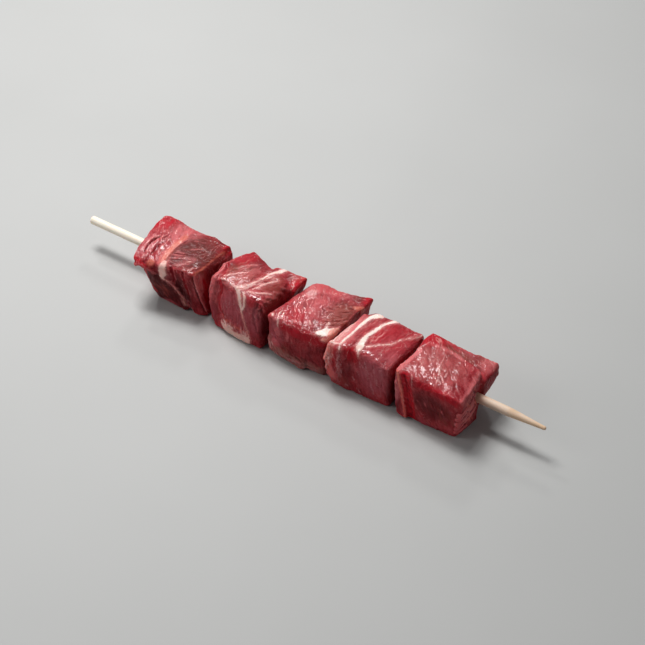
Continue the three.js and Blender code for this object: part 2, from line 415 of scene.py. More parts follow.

# %% [markdown]
# ## The look of raw lamb
# Lean lamb is a bundle of fibres in a wet, slightly clear red. Its look has layers: the red itself,
# which light enters and leaves a millimetre away; its mottling, bundles and fibres; tints, such as
# the brown of dried meat or the pink of a membrane; thin pale threads; film; and seams of fat. The
# dark brown tint is also painted shade in creases, folds and under overhangs, and film on the wet
# tops is also painted glints.
# A picture of meat would stretch where the faces turn, so every layer is a pattern or a mark. Where
# the marks lie is written on the mesh as attributes by the steps that follow, so this one finish
# serves all five cubes. Four of them are no tints: "fibre" is a place in the muscle's own axes, the
# first along its grain; "fat" says how far inside a seam's edge a point lies; "crest" says how far a
# point stands above what is round it; and the fourth is painted light and shade: it paints the
# colour brighter where a place faces up, and deeper on the upright faces and low down.
# %% Lamb finish: patterns of the meat
lamb, tree, shader = new_finish("raw_lamb")


def mark(name, output="Fac"):
    """Reads a mark from the mesh."""
    return add(tree, "ShaderNodeAttribute", attribute_name=name).outputs[output]


fibre = mark("fibre", "Vector")
place = stretch(tree, add(tree, "ShaderNodeTexCoord").outputs["Object"], (1 / MM,) * 3)
clouds = speckle(tree, place, 0.13, detail=3.0)
mottle = speckle(tree, place, 0.20, seed=2.0)
grit = speckle(tree, place, 1.3, detail=3.0, roughness=0.65)
streaks = speckle(tree, stretch(tree, fibre, (0.10, 1, 1)), 0.62, detail=3.0, roughness=0.6)
fibres = speckle(tree, stretch(tree, fibre, (0.07, 1, 1)), 1.7, detail=3.0, roughness=0.6)
# painted glints: pale flecks drawn out along the grain, laid on the wet places further down
painted_glints = speckle(tree, stretch(tree, fibre, (0.35, 1, 1)), 0.95, detail=1.0, seed=6.0)
veins = speckle(tree, stretch(tree, fibre, (0.09, 1, 1)), 0.30, seed=4.0)


def ragged(first, first_amount, second, second_amount, low=0.2, high=0.8):
    """Two patterns as one swing about 0. Added to a mark, it tears the mark's even edge."""
    return total(tree, ramp(tree, first, low, high, -first_amount, first_amount, smooth=False),
                 ramp(tree, second, low, high, -second_amount, second_amount, smooth=False))


print("patterns of the meat, nodes so far:", len(tree.nodes))

# %% [markdown]
# The lean red is laid first, then lighter and darker stretches of each pattern over it, and the
# rims are painted a brighter red, a painted glow of light through thin edges. The tints come next,
# in the order of their table, and a later one covers an earlier. Pale flecks on the wet places are
# painted glints. Crests are painted a little paler, a painted highlight, and hollows darker, a
# painted shade. Last, the colour is painted deeper on the upright faces and low down and brighter
# where a place faces up: painted light and shade.
# %% Lamb finish: lean and tints
lean = blend(tree, ramp(tree, clouds, 0.35, 0.65), (0.25, 0.010, 0.017), (0.40, 0.032, 0.042))
for pattern, start, full, amount, colour in (
    (mottle, 0.52, 0.68, 0.45, (0.56, 0.130, 0.140)),
    (mottle, 0.48, 0.32, 0.55, (0.13, 0.006, 0.010)),
    (streaks, 0.50, 0.72, 0.50, (0.54, 0.105, 0.110)),
    (streaks, 0.48, 0.28, 0.60, (0.14, 0.005, 0.009)),
    (fibres, 0.52, 0.74, 0.50, (0.62, 0.16, 0.16)),
    (fibres, 0.46, 0.26, 0.55, (0.11, 0.004, 0.008)),
    (grit, 0.52, 0.70, 0.45, (0.60, 0.14, 0.15)),
    (grit, 0.46, 0.30, 0.50, (0.12, 0.004, 0.008)),
    # painted glow: the rims are painted a brighter red, as if light shone through the thin edges
    (mark("rim"), 0.15, 0.90, 0.60, (0.52, 0.050, 0.060)),
):
    lean = blend(tree, ramp(tree, pattern, start, full, end=amount), lean, colour)

# The darkest tint is the brown of dried meat, and it is also painted shade in creases, folds and under
# overhangs.
TINTS = {
    "dusk": (0.085, 0.007, 0.009), "rust": (0.25, 0.048, 0.036), "mauve": (0.44, 0.105, 0.125),
    "tan": (0.32, 0.18, 0.14), "pale": (0.62, 0.155, 0.16), "ember": (0.66, 0.17, 0.11),
    "flush": (0.44, 0.009, 0.020),
}
uneven = total(tree, 1.0, ragged(streaks, 0.55, grit, 0.3, low=0.25, high=0.75))
for name, colour in TINTS.items():
    cover = calc(tree, "MINIMUM", product(tree, mark(name), uneven), 1.0)
    lean = blend(tree, cover, lean, colour)
# painted glints on the wet places
painted_glints = product(tree, ramp(tree, painted_glints, 0.60, 0.72, end=0.6), mark("wet"))
lean = blend(tree, painted_glints, lean, (0.84, 0.50, 0.49))
# painted highlight on the crests and painted shade in the hollows
lean = blend(tree, ramp(tree, mark("crest"), 0.15, 1.10, end=0.45), lean, (0.66, 0.19, 0.19))
lean = blend(tree, ramp(tree, mark("crest"), -0.15, -1.20, end=0.70), lean, (0.14, 0.003, 0.008))
# painted shade: where less light is painted, on the upright faces and low down, the colour is multiplied
# deeper
painted_shade = ramp(tree, mark("bloom"), 1.0, 0.0, smooth=False)
lean = blend(tree, painted_shade, lean, (0.92, 0.60, 0.66), mode="MULTIPLY")
print("tints:", list(TINTS))

# %% [markdown]
# Threads of white tissue run between the bundles: they lie where slow noise crosses its middle
# value, which gives long thin lines. Film is a thin skin over the muscle, so it is half clear; the
# same mark also lays painted glints on wet tops. Cream is soft fat in streaks. Both are torn by the
# grain. A seam of fat is nearly opaque, with a frayed edge and a pink blush on the lean beside it.
# Threads, film, cream and fat each get a lit and a shaded copy of their colour, picked by the
# painted light and shade.
# %% Lamb finish: threads, film and fat
threads = calc(tree, "ABSOLUTE", calc(tree, "SUBTRACT", veins, 0.5))
threads = product(tree, ramp(tree, threads, 0.014, 0.001), ramp(tree, clouds, 0.45, 0.62, end=0.5))
# painted light and shade: a lit and a shaded colour for the threads
lean = blend(tree, threads, lean, blend(tree, painted_shade, (0.72, 0.36, 0.33), (0.42, 0.12, 0.13)))

# bright and dull are the painted lit and painted shaded copies of each colour
for name, opacity, bright, dull in (
    ("film", 0.62, (0.72, 0.40, 0.39), (0.46, 0.19, 0.20)),
    ("cream", 0.78, (0.88, 0.62, 0.56), (0.66, 0.36, 0.34)),
):
    torn = total(tree, mark(name), ragged(fibres, 0.45, grit, 0.35))
    cover = product(tree, ramp(tree, torn, 0.10, 0.90, end=opacity), ramp(tree, mark(name), 0.02, 0.30))
    lean = blend(tree, cover, lean, blend(tree, painted_shade, bright, dull))

edge = total(tree, mark("fat"), ragged(fibres, 0.40, grit, 0.40))
fat_colour = blend(tree, mark("peach"), (0.94, 0.78, 0.71), (0.80, 0.31, 0.25))
fat_colour = blend(tree, ramp(tree, grit, 0.45, 0.70, end=0.45), fat_colour, (0.80, 0.48, 0.43))
# painted shade on the fat
fat_colour = blend(tree, painted_shade, fat_colour, (0.88, 0.64, 0.60), mode="MULTIPLY")
blush = blend(tree, ramp(tree, edge, -1.2, 0.2, end=0.5), lean, (0.68, 0.24, 0.23))
meat_colour = blend(tree, ramp(tree, edge, -0.15, 0.55, end=0.97), blush, fat_colour)
print("layers of colour:", sum(node.bl_idname == "ShaderNodeMix" for node in tree.nodes))

# %% [markdown]
# The red scatters light: red travels furthest inside the meat, so thin edges glow. The juice is the
# shader's coat, thin and smooth, over a rougher body. It lies on the open tops, where a place faces
# up, runs off the upright faces and has dried on the darkest meat. Its own bumps are drawn out along
# the fibres, so that the sparks in it come out as short streaks. Fine bumps are left to the shader,
# and everything that a finger could feel comes from the mesh.
# %% Lamb finish: wetness and fine bumps
uneven = total(tree, product(tree, grit, 0.5), product(tree, fibres, 0.5))
roughness = ramp(tree, uneven, 0.35, 0.65, 0.34, 0.58)
roughness = calc(tree, "SUBTRACT", roughness, product(tree, mark("wet"), 0.08))

juice = total(tree, 0.14, product(tree, mark("wet"), 0.86))
juice = product(tree, juice, ramp(tree, mark("dusk"), 0.0, 1.0, 1.0, 0.25), mark("open"))
fine = total(tree, product(tree, streaks, 0.9), product(tree, fibres, 0.4), product(tree, grit, 0.6))
fine = {"Height": fine, "Strength": 0.5, "Distance": 0.45 * MM}
drops = speckle(tree, stretch(tree, fibre, (0.18, 1, 1)), 0.80, detail=1.2, seed=8.0)
drops = {"Height": drops, "Strength": 1.0, "Distance": 0.40 * MM}
set_shader(tree, shader, {
    "Base Color": meat_colour, "Roughness": roughness, "IOR": 1.4, "Specular IOR Level": 0.10,
    "Subsurface Weight": 0.36, "Subsurface Radius": (1.0, 0.20, 0.15), "Subsurface Scale": 2.0 * MM,
    "Coat Weight": total(tree, 0.05, juice), "Coat Roughness": 0.07, "Coat IOR": 1.46,
    "Normal": add(tree, "ShaderNodeBump", fine), "Coat Normal": add(tree, "ShaderNodeBump", drops),
})

# %% [markdown]
# ## A fine skin for each cube
# The solid cubes have the right size and cut, but their faces are flat triangles a few millimetres
# wide. Sculpting by hand could refine them; here the same steps serve all five. A copy is merged,
# then wrapped in an even net of quads, then settled: each point moves to the middle of its
# neighbours many times over, which hides the triangles. Knife-cut edges must stay crisp, so the tree
# first measures how much the surface turns near each point, and lets the points near an edge move
# far less than those on a flat. A wider look gives the "rim", which the grain and finish use.
# %% Settling tree
settle, inputs = new_tree("settle the cut faces", {
    "Passes": 90, "Edge Look": 10, "Edge Hold": 0.015, "Edge Turn": 0.972, "Flat Turn": 0.995,
    "Rim Look": 60, "Rim Turn": 0.80, "Rim Start": 0.98,
})


def agreement(look):
    """How well the faces near a point agree: 1 on a flat, less the nearer an edge is."""
    facing = add(settle, "GeometryNodeInputNormal")
    facing = averaged(settle, facing, "FLOAT_VECTOR", Iterations=inputs[look])
    return add(settle, "ShaderNodeVectorMath", {0: facing}, operation="LENGTH").outputs["Value"]


rim = ramp(settle, agreement("Rim Look"), inputs["Rim Start"], inputs["Rim Turn"])
rimmed = store(settle, inputs["Geometry"], "rim", rim)
looseness = ramp(settle, agreement("Edge Look"), inputs["Edge Turn"], inputs["Flat Turn"],
                 inputs["Edge Hold"], 1.0)
settled = averaged(settle, add(settle, "GeometryNodeInputPosition"), "FLOAT_VECTOR",
                   Iterations=inputs["Passes"], Weight=looseness)
end_tree(settle, add(settle, "GeometryNodeSetPosition", {"Geometry": rimmed, "Position": settled}), lamb)

# %% [markdown]
# The net's quads are 0.28 mm wide, fine enough for a fibre and coarse enough for a quick export. The
# triangles of the copy are loose, so their shared points are merged before the net is laid.
# %% Wrapping a cube
NET, WELD = 0.28, 0.001


def wrapped(name):
    """A copy of one solid cube with an even net of small quads and settled faces."""
    piece = new_piece(name + "_skin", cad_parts[name].data.copy())
    weld = piece.modifiers.new("weld", "WELD")
    weld.merge_threshold = WELD * MM
    net = piece.modifiers.new("net", "REMESH")
    net.mode = "VOXEL"
    net.voxel_size = NET * MM
    keep_result(piece)
    grow(piece, settle)
    print(name, "wrapped, quads:", len(piece.data.polygons))
    return piece


# %% [markdown]
# ## Marking the meat
# A cook reads a cube of lamb by its marks: a seam of fat between two muscles, a groove where they
# part, a film, a brighter or darker stretch. They could be painted by hand on the mesh. Here each is
# a strand laid through a few spots of the surface, or a patch round one spot, so that it can be
# moved by changing a number. Spots are given in percent of the cube's box: along the skewer, from
# front to back, and up. These helpers round a path through its spots and shift points a little, at
# random but slowly, which keeps the lines from looking drawn with a ruler.
# %% Curves and shifts
def ease(low, high, value):
    """A smooth step from 0 at low to 1 at high."""
    t = np.clip((value - low) / (high - low), 0, 1)
    return t * t * (3 - 2 * t)


def wander(points, size, amount, seed=1):
    """Slow random shifts, about the given amount, that change over about the given size."""
    dice = np.random.default_rng(seed)
    turns = points @ dice.normal(0, 2 * math.pi / size, (3, 9)) + dice.uniform(0, 2 * math.pi, 9)
    return np.sin(turns) @ dice.normal(0, amount / 2, (9, 3))


def smooth_path(corners, step=0.8):
    """A rounded curve through the corners, and how far along each of its points lies, 0 to 1."""
    corners = np.array(corners, float)
    before, after = 2 * corners[0] - corners[1], 2 * corners[-1] - corners[-2]
    padded = np.vstack([before, corners, after])
    path, along = [], []
    for i in range(len(corners) - 1):
        a, b, c, d = padded[i:i + 4]
        for t in np.arange(0, 1, min(0.5, step / max(np.linalg.norm(c - b), step))):
            path.append((2 * b + (c - a) * t + (2 * a - 5 * b + 4 * c - d) * t**2
                         + (3 * b - a - 3 * c + d) * t**3) / 2)
            along.append((i + t) / (len(corners) - 1))
    return np.array(path + [corners[-1]]), np.array(along + [1])


print("ease from 0 to 1:", [round(float(ease(0, 1, t)), 2) for t in (0, 0.25, 0.5, 0.75, 1)])

# %% [markdown]
# The distance from a point to a strand's line tells how deep inside the strand the point lies. The
# line is a chain of short steps, and each point is measured against its nearest step. A point that
# lies further off than FAR counts as out of reach.
# %% Distances to a strand
FAR = 4.0
NOTHING = 1e-9


def beside(points, path, upward, along, half):
    """Of points near a path: how far inside its edge they lie, how far to its left, how far along."""
    deepest, left, travelled = np.full(len(points), -FAR), np.zeros(len(points)), np.zeros(len(points))
    for i, (start, end) in enumerate(zip(path, path[1:])):
        step = end - start
        t = np.clip((points - start) @ step / max(step @ step, NOTHING), 0, 1)
        gap = np.linalg.norm(points - start - np.outer(t, step), axis=1)
        depth = half[i] + (half[i + 1] - half[i]) * t - gap
        closer = depth > deepest
        aside = np.cross(upward[i], step)
        deepest[closer] = depth[closer]
        left[closer] = ((points - start) @ aside / max(np.linalg.norm(aside), NOTHING))[closer]
        travelled[closer] = (along[i] + (along[i + 1] - along[i]) * t)[closer]
    return deepest, left, travelled


print("reach of a strand, mm:", FAR)

# %% [markdown]
# A skin knows its points, which way they face, and the marks laid so far. Its points are stirred
# before anything is measured, so that no mark is perfectly even. Two marks are there from the start:
# "open" tells where a place faces up and stays wet, and the other is painted light and shade: full
# where a place faces up, and on the upright faces rising towards the top, so that the fronts and the
# low parts are painted in shade.
# %% A skin and its measures
SOFT_MARKS = ("peach", "film", "cream", "flush", "ember", "dusk", "rust", "mauve", "tan", "pale", "wet")
SIDE_PAINTED_LIGHT = 0.62


def rows(items, field):
    """One vector for each item, as rows of three."""
    values = np.empty(len(items) * 3, np.float32)
    items.foreach_get(field, values)
    return values.reshape(-1, 3)


class Skin:
    """The surface of one cube, in millimetres, and the marks on it."""

    def __init__(self, name, seed):
        self.name, self.seed, self.piece = name, seed, wrapped(name)
        self.dice = np.random.default_rng(seed)
        low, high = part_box(name)
        self.low, self.size = np.array(low) / MM, np.array(high - low) / MM
        mesh = self.piece.data
        self.points = rows(mesh.vertices, "co").astype(float) / MM
        self.facing = rows(mesh.vertex_normals, "vector")
        self.surface = BVHTree.FromPolygons(self.points.tolist(), [p.vertices[:] for p in mesh.polygons])
        self.stirred = self.points + wander(self.points, size=6, amount=0.22)
        self.stirred += wander(self.points, size=1.8, amount=0.07, seed=2)
        self.fibre = np.zeros_like(self.points)
        self.marks = {mark: np.zeros(len(self.points)) for mark in SOFT_MARKS + ("relief",)}
        self.marks["fat"] = np.full(len(self.points), -FAR)
        height = (self.stirred[:, 2] - self.low[2]) / self.size[2]
        self.marks["open"] = ease(0.1, 0.6, self.facing[:, 2])
        # painted light: full on faces that look up; on the upright faces it rises towards the top
        self.marks["bloom"] = ease(0.1, 0.75, self.facing[:, 2])
        self.lay("bloom", SIDE_PAINTED_LIGHT * ease(0.1, 1.0, height))

    def right_of(self, percent):
        """Which points lie further along the skewer than a percentage of the cube."""
        return (self.stirred[:, 0] - self.low[0]) / self.size[0] > percent / 100

    def spot(self, percents):
        """The spot of the surface nearest to a place in the cube's box."""
        place = self.low + self.size * (np.array(percents, float) / 100)
        return np.array(self.surface.find_nearest(Vector(place))[0])

    def measure(self, widths, spots):
        """Of a strand: how far inside its edge each point lies, how far to its left, and how far along."""
        widths = np.atleast_1d(widths)
        path, along = smooth_path([self.spot(s) for s in spots])
        found = [self.surface.find_nearest(Vector(p)) for p in path]
        path = np.array([f[0] for f in found])
        upward = np.array([f[1] for f in found])
        half = np.interp(along, np.linspace(0, 1, len(widths)), widths) / 2
        margin = FAR + half.max()
        near = np.all((self.stirred > path.min(0) - margin) & (self.stirred < path.max(0) + margin), axis=1)
        results = np.full(len(self.points), -FAR), np.zeros(len(self.points)), np.zeros(len(self.points))
        for result, values in zip(results, beside(self.stirred[near], path, upward, along, half)):
            result[near] = values
        return results

    def inside(self, widths, spots):
        """How far inside a strand's edge each point lies: above 0 on it, below 0 beside it."""
        return self.measure(widths, spots)[0]

    def lay(self, mark, cover):
        """Adds to a mark, which keeps the stronger of the old and the new."""
        self.marks[mark] = np.maximum(self.marks[mark], cover)

    def tell(self, what):
        """Prints how much fat and relief there is so far."""
        fat = 100 * np.mean(self.marks["fat"] > 0)
        relief = self.marks["relief"]
        print(f"{self.name}, {what}: fat on {fat:.1f} %, relief {relief.min():.1f} to {relief.max():.1f} mm")


# %% [markdown]
# Colour comes in four forms. A seam of fat has a firm edge and stands a little proud. A strand of
# tint or film has a soft one. A patch is a soft cloud round a spot. Fine streaks are many short
# strands scattered about a spot and leaning one way; their random draws come from the skin's own
# seeded generator, so the cubes come out the same each time. A strength above 1 covers more densely.
# %% Seams, strands and patches
ASTRAY = 0.13


class TintedSkin(Skin):
    """A skin that takes colour."""

    def fat(self, widths, *spots, peach=0.15, raised=0.12):
        """A seam of fat, white to peach, that stands a little proud."""
        depth = self.inside(widths, spots)
        self.lay("fat", depth)
        self.lay("peach", ease(-0.8, 0.2, depth) * peach)
        self.marks["relief"] += ease(-0.3, 0.5, depth) * raised

    def strand(self, mark, strength, widths, *spots, soft=0.5, relief=0.0):
        """A soft-edged strand of one tint or film. Cream lies in a wider, paler haze."""
        depth = self.inside(widths, spots)
        cover = ease(-soft, soft, depth)
        self.lay(mark, cover * strength)
        if mark == "cream":
            self.lay("pale", ease(-2.0, 0.3, depth) * 0.5)
        self.marks["relief"] += cover * relief

    def patch(self, mark, strength, centre, radii, relief=0.0):
        """A soft-edged patch of one tint round a spot."""
        away = np.linalg.norm((self.stirred - self.spot(centre)) / np.array(radii, float), axis=1)
        cover = ease(1.2, 0.45, away)
        self.lay(mark, cover * strength)
        self.marks["relief"] += cover * relief

    def patches(self, mark, *dabs):
        """Patches of one tint, each a row of strength, middle and radii."""
        for strength, centre, radii in dabs:
            self.patch(mark, strength, centre, radii)

    def scatter(self, mark, strength, count, centre, spread, heading, length, width, relief=0.0):
        """Many short strands about a spot, nearly side by side. The heading points along them."""
        for _ in range(count):
            turned = np.array(heading) + self.dice.normal(0, ASTRAY, 3)
            half = 100 * turned * length * self.dice.uniform(0.3, 0.7) / self.size
            middle = np.array(centre) + self.dice.uniform(-1, 1, 3) * spread
            thick = width * self.dice.uniform(0.6, 1.4)
            self.strand(mark, strength * self.dice.uniform(0.5, 1), (0.1, thick, 0.1),
                        middle - half, middle + half, soft=0.4, relief=relief)


print("soft marks:", len(SOFT_MARKS))

# %% [markdown]
# The knife and the muscles shape the surface. A groove parts two bundles and shows bright red inside;
# a ridge stands up; a lip is a muscle that swells and drops over its neighbour. These could be
# sculpted, but as heights on strands they stay where their colour is. The hole in a real cube
# closes round the skewer, so the meat near it is drawn in.
# %% Grooves, ridges and lips
CREASE_REACH, CREASE_DEPTH = 1.6, 0.6


class CarvedSkin(TintedSkin):
    """A skin that takes shape."""

    def groove(self, depth, widths, *spots, flush=0.7):
        """A narrow parting between bundles, deep red inside."""
        cover = ease(-0.45, 0.45, self.inside(widths, spots))
        self.lay("flush", cover * flush)
        self.marks["relief"] -= cover * depth

    def ridge(self, height, widths, *spots, pale=0.5):
        """A bundle that stands up, painted paler on its crest as a highlight."""
        cover = ease(-0.6, 0.4, self.inside(widths, spots))
        self.lay("pale", cover * pale)
        self.marks["relief"] += cover * height

    def lip(self, height, reach, *spots, flush=0.6):
        """A muscle on the strand's left that swells towards it and drops past it, over its neighbour."""
        depth, left, along = self.measure(0.0, spots)
        fade = ease(0, 0.15, along) * ease(1, 0.85, along)
        on_top = ease(-0.35, 0.35, left)
        swell = ease(-reach, 0, depth) * on_top
        crease = ease(-CREASE_REACH, 0, depth) * (1 - on_top)
        # painted shade: the crease below the lip gets a saturated red
        self.lay("flush", crease * fade * flush)
        self.marks["relief"] += (swell - CREASE_DEPTH * crease) * fade * height

    def round_corner(self, depth, corner, reach=4.0):
        """Takes the point off a corner."""
        away = np.linalg.norm(self.stirred - self.spot(corner), axis=1)
        self.marks["relief"] -= ease(reach, 0.5, away) * depth

    def grip(self, axis_z, bore, held, reach=4.0):
        """Draws the meat round the hole in until it holds the skewer."""
        out = self.points - (0, 0, axis_z)
        out[:, 0] = 0
        gap = np.linalg.norm(out, axis=1)
        pull = (bore - held) * ease(bore + reach, bore + 0.3, gap)
        self.points -= out / np.maximum(gap, 1e-6)[:, None] * pull[:, None]


print("relief comes from:", [name for name in vars(CarvedSkin) if not name.startswith("_")])

# %% [markdown]
# Fibres run one way through a muscle, so its own axes are turned until the first lies along them.
# Where a fan of seams opens, the axes bend round one spot. On the upright faces the fibres run down.
# The sides that nobody looks at get seeded streaks and patches, so that they are meat too.
# %% Grain and hidden sides
HIDDEN_SIDES = (
    ((50, 100, 50), (40, 0, 40), (0.3, 0, -1)),
    ((0, 50, 50), (0, 40, 40), (0, 0.3, -1)),
    ((50, 50, 0), (40, 40, 0), (0.4, 1, 0)),
)
HIDDEN_TINTS = ("mauve", "dusk", "rust", "pale", "dusk", "mauve")
HIDDEN_STREAKS = (
    ("pale", 14, 1.2, 0.15), ("dusk", 12, 1.0, -0.2), ("film", 14, 0.8, 0.1), ("cream", 5, 0.8, 0.1),
)


class GrainedSkin(CarvedSkin):
    """A skin whose fibres have a direction."""

    def grain(self, x, y, z=0.0, where=None, shorter=1.0):
        """Turns the muscle's own axes so that the first runs along its fibres."""
        along = np.array((x, y, z)) / math.hypot(x, y, z)
        side = np.cross(along, (0, 0, 1))
        side /= np.linalg.norm(side)
        axes = np.stack([along, side, np.cross(along, side)], axis=1)
        turned = (self.points + wander(self.points, size=16, amount=0.45, seed=3)) @ axes * (shorter, 1, 1)
        where = slice(None) if where is None else where
        self.fibre[where] = turned[where]

    def grain_sides(self, x, y=0.05):
        """Lets the fibres of the upright faces run down them, leaning by x and y."""
        self.grain(x, y, -1, where=np.abs(self.facing[:, 2]) < 0.6, shorter=2.6)

    def fan(self, centre, where, spread=11):
        """Fibres that spread out from one spot."""
        out = self.points + wander(self.points, size=12, amount=0.5, seed=4) - self.spot(centre)
        reach, turn = np.hypot(out[:, 0], out[:, 1]), np.arctan2(out[:, 1], out[:, 0])
        self.fibre[where] = np.stack([reach, turn * spread, out[:, 2]], axis=1)[where]

    def hidden_sides(self):
        """Streaks and patches for the back, the left end and the underside."""
        for centre, spread, heading in HIDDEN_SIDES:
            for mark in HIDDEN_TINTS:
                middle = np.array(centre) + self.dice.uniform(-1, 1, 3) * spread
                self.patch(mark, 0.6, middle, self.dice.uniform(4, 9, 3))
            for mark, count, width, relief in HIDDEN_STREAKS:
                self.scatter(mark, 0.9, count, centre, spread, heading, 7, width, relief=relief)


print("hidden sides:", len(HIDDEN_SIDES), "streaks on each:", sum(row[1] for row in HIDDEN_STREAKS))

# %% [markdown]
# ## The grain of the meat
# What is left is relief that follows a rule, so a tree makes it: rounded bundles of fibres with sharp
# partings between them, finer fibres on the bundles, creases and beads of juice where the surface is
# wet, a kneaded unevenness all over, and rims that the knife has nibbled. The tree reads the muscle's
# own axes from the skin, stretches noise along the fibres and adds up heights in millimetres. Fat
# stays smooth. A bump in the finish would be cheaper, but it would leave the outline straight.
# %% Grain tree: inputs and noise
tree, inputs = new_tree("grain of the meat", {
    "Bundle Width": 1.8, "Bundle Height": 0.11, "Fibre Width": 0.9, "Fibre Height": 0.06,
    "Stretch": 9.0, "Crease Width": 1.6, "Crease Height": 0.13, "Crease Stretch": 3.4,
    "Bead Size": 1.5, "Bead Height": 0.06, "Knead Size": 2.6, "Knead Height": 0.16,
    "Lump Size": 6.0, "Lump Height": 0.32, "Nibble Size": 3.2, "Nibble Height": 0.45,
    "Crest Look": 16, "Crest Height": 0.15, "Seed": 0.0,
})


def stored(name, kind="FLOAT"):
    """Reads a mark from the skin."""
    node = add(tree, "GeometryNodeInputNamedAttribute", {"Name": name}, data_type=kind)
    return live(node.outputs)


def along_grain(length):
    """Places in the muscle's own axes, drawn out along its fibres."""
    squeeze = {"X": calc(tree, "DIVIDE", 1.0, length), "Y": 1.0, "Z": 1.0}
    return stretch(tree, stored("fibre", "FLOAT_VECTOR"), add(tree, "ShaderNodeCombineXYZ", squeeze))


def noise(vector, size, seed):
    """Noise whose patches are about the given size."""
    seed = calc(tree, "ADD", inputs["Seed"], seed)
    return speckle(tree, vector, calc(tree, "DIVIDE", 1.0, size), detail=1.0, seed=seed)


def swing(vector, size, seed, height):
    """Noise as a height that swings evenly about 0."""
    about_0 = calc(tree, "SUBTRACT", noise(vector, size, seed), 0.5)
    return product(tree, about_0, height, 2.0)


# %% [markdown]
# Bundles part where noise crosses its middle value, and swell between. Fibres are finer noise on the
# same axes. Creases and beads come only where the skin is marked wet.
# %% Grain tree: bundles, fibres, creases and beads
grain = along_grain(inputs["Stretch"])
place = stretch(tree, add(tree, "GeometryNodeInputPosition"), (1 / MM,) * 3)
parting = noise(grain, product(tree, inputs["Bundle Width"], 2.0), 0.0)
parting = calc(tree, "ABSOLUTE", calc(tree, "SUBTRACT", parting, 0.5))
bundles = product(tree, ramp(tree, parting, 0.0, 0.14, -1.0, 0.3), inputs["Bundle Height"])
fibres = swing(grain, inputs["Fibre Width"], 1.0, inputs["Fibre Height"])

creases = noise(along_grain(inputs["Crease Stretch"]), inputs["Crease Width"], 2.0)
creases = product(tree, ramp(tree, creases, 0.52, 0.68), stored("wet"), inputs["Crease Height"])
beads = noise(place, inputs["Bead Size"], 3.0)
beads = product(tree, ramp(tree, beads, 0.55, 0.72), stored("wet"), inputs["Bead Height"])
height = total(tree, bundles, fibres, creases, beads)
smooth_fat = ramp(tree, stored("fat"), -0.5, 0.3, 1.0, 0.25)
smooth_rim = ramp(tree, stored("rim"), 0.2, 1.0, 1.0, 0.45)
height = product(tree, height, smooth_fat, smooth_rim)

# %% [markdown]
# Meat gives under the knife and the hand, so the faces are never flat: two sizes of soft unevenness
# lie under the grain, and the rims get small bites. The relief of the marks is added last.
# %% Grain tree: kneading, lumps and nibbled rims
knead = swing(place, inputs["Knead Size"], 5.0, inputs["Knead Height"])
lumps = swing(place, inputs["Lump Size"], 4.0, inputs["Lump Height"])
nibbles = swing(place, inputs["Nibble Size"], 6.0, inputs["Nibble Height"])
nibbles = product(tree, nibbles, ramp(tree, stored("rim"), 0.1, 0.8))
height = total(tree, height, knead, lumps, nibbles, stored("relief"))

# %% [markdown]
# The finish wants to know the crests and hollows, so each point's height above the average round it
# is stored before the points move. Nothing may sink into the table, so points below it are lifted.
# %% Grain tree: crests and the moved skin
around = live(averaged(tree, height, "FLOAT", Iterations=inputs["Crest Look"]).outputs)
crest = calc(tree, "DIVIDE", calc(tree, "SUBTRACT", height, around), inputs["Crest Height"])
raised = store(tree, inputs["Geometry"], "crest", crest)
raised = moved(tree, raised, product(tree, height, MM))
x, y, z = add(tree, "ShaderNodeSeparateXYZ", {0: add(tree, "GeometryNodeInputPosition")}).outputs
above = add(tree, "ShaderNodeCombineXYZ", {0: x, 1: y, 2: calc(tree, "MAXIMUM", z, 0.0)})
raised = add(tree, "GeometryNodeSetPosition", {"Geometry": raised, "Position": above})
end_tree(tree, raised, lamb)
grain_tree = tree

# %% [markdown]
# ## Dressing a cube
# A marked skin becomes a finished piece in the same way five times: its hidden sides are filled, it
# grips the skewer, its marks are written on the mesh, and the tree raises the grain. The piece rides
# on the kebab's one body and stands for its solid.
# %% Dressing a cube
SKEWER_AXIS = (skewer_low.z + skewer_high.z) / 2 / MM
BORE, HELD = 2.4, 2.04


def write_attribute(mesh, name, values, kind="FLOAT", field="value"):
    """Writes one value for each point of a mesh."""
    attribute = mesh.attributes.new(name, kind, "POINT")
    attribute.data.foreach_set(field, np.ascontiguousarray(values, np.float32).ravel())


def dress(skin):
    """Turns a marked skin into a finished piece of meat."""
    cube, mesh = skin.piece, skin.piece.data
    skin.hidden_sides()
    skin.grip(SKEWER_AXIS, BORE, HELD)
    mesh.vertices.foreach_set("co", (skin.points * MM).astype(np.float32).ravel())
    for mark_name, values in skin.marks.items():
        write_attribute(mesh, mark_name, values)
    write_attribute(mesh, "fibre", skin.fibre, "FLOAT_VECTOR", "vector")
    grow(cube, grain_tree, seed=float(skin.seed))
    cube.name = cube.data.name = "lamb_" + skin.name[-6:]
    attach(cube, "root")
    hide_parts(skin.name)
    print(cube.name, "dressed, mm:", [round(v / MM, 1) for v in cube.dimensions])


# %% [markdown]
# ## First cube: shoulder with a fat seam across it
# Two muscles meet at a peach-coloured seam that crosses the top, ends in a pale lump at the front
# edge and runs on down the front as a thin line. The left muscle is wet and split by deep red
# grooves; the right one is darker, with the grain running away to the right. The grain and the broad
# tints come first. Each row of patches gives a strength, a middle and three radii.
# %% First cube: grain and tints
skin = GrainedSkin(CUBES[0], seed=0)
skin.grain(0.41, -0.91)
skin.grain(0.83, 0.56, where=skin.right_of(46))
skin.grain_sides(0.3)
skin.patches("wet", (0.65, (22, 35, 96), (8, 10, 6)))
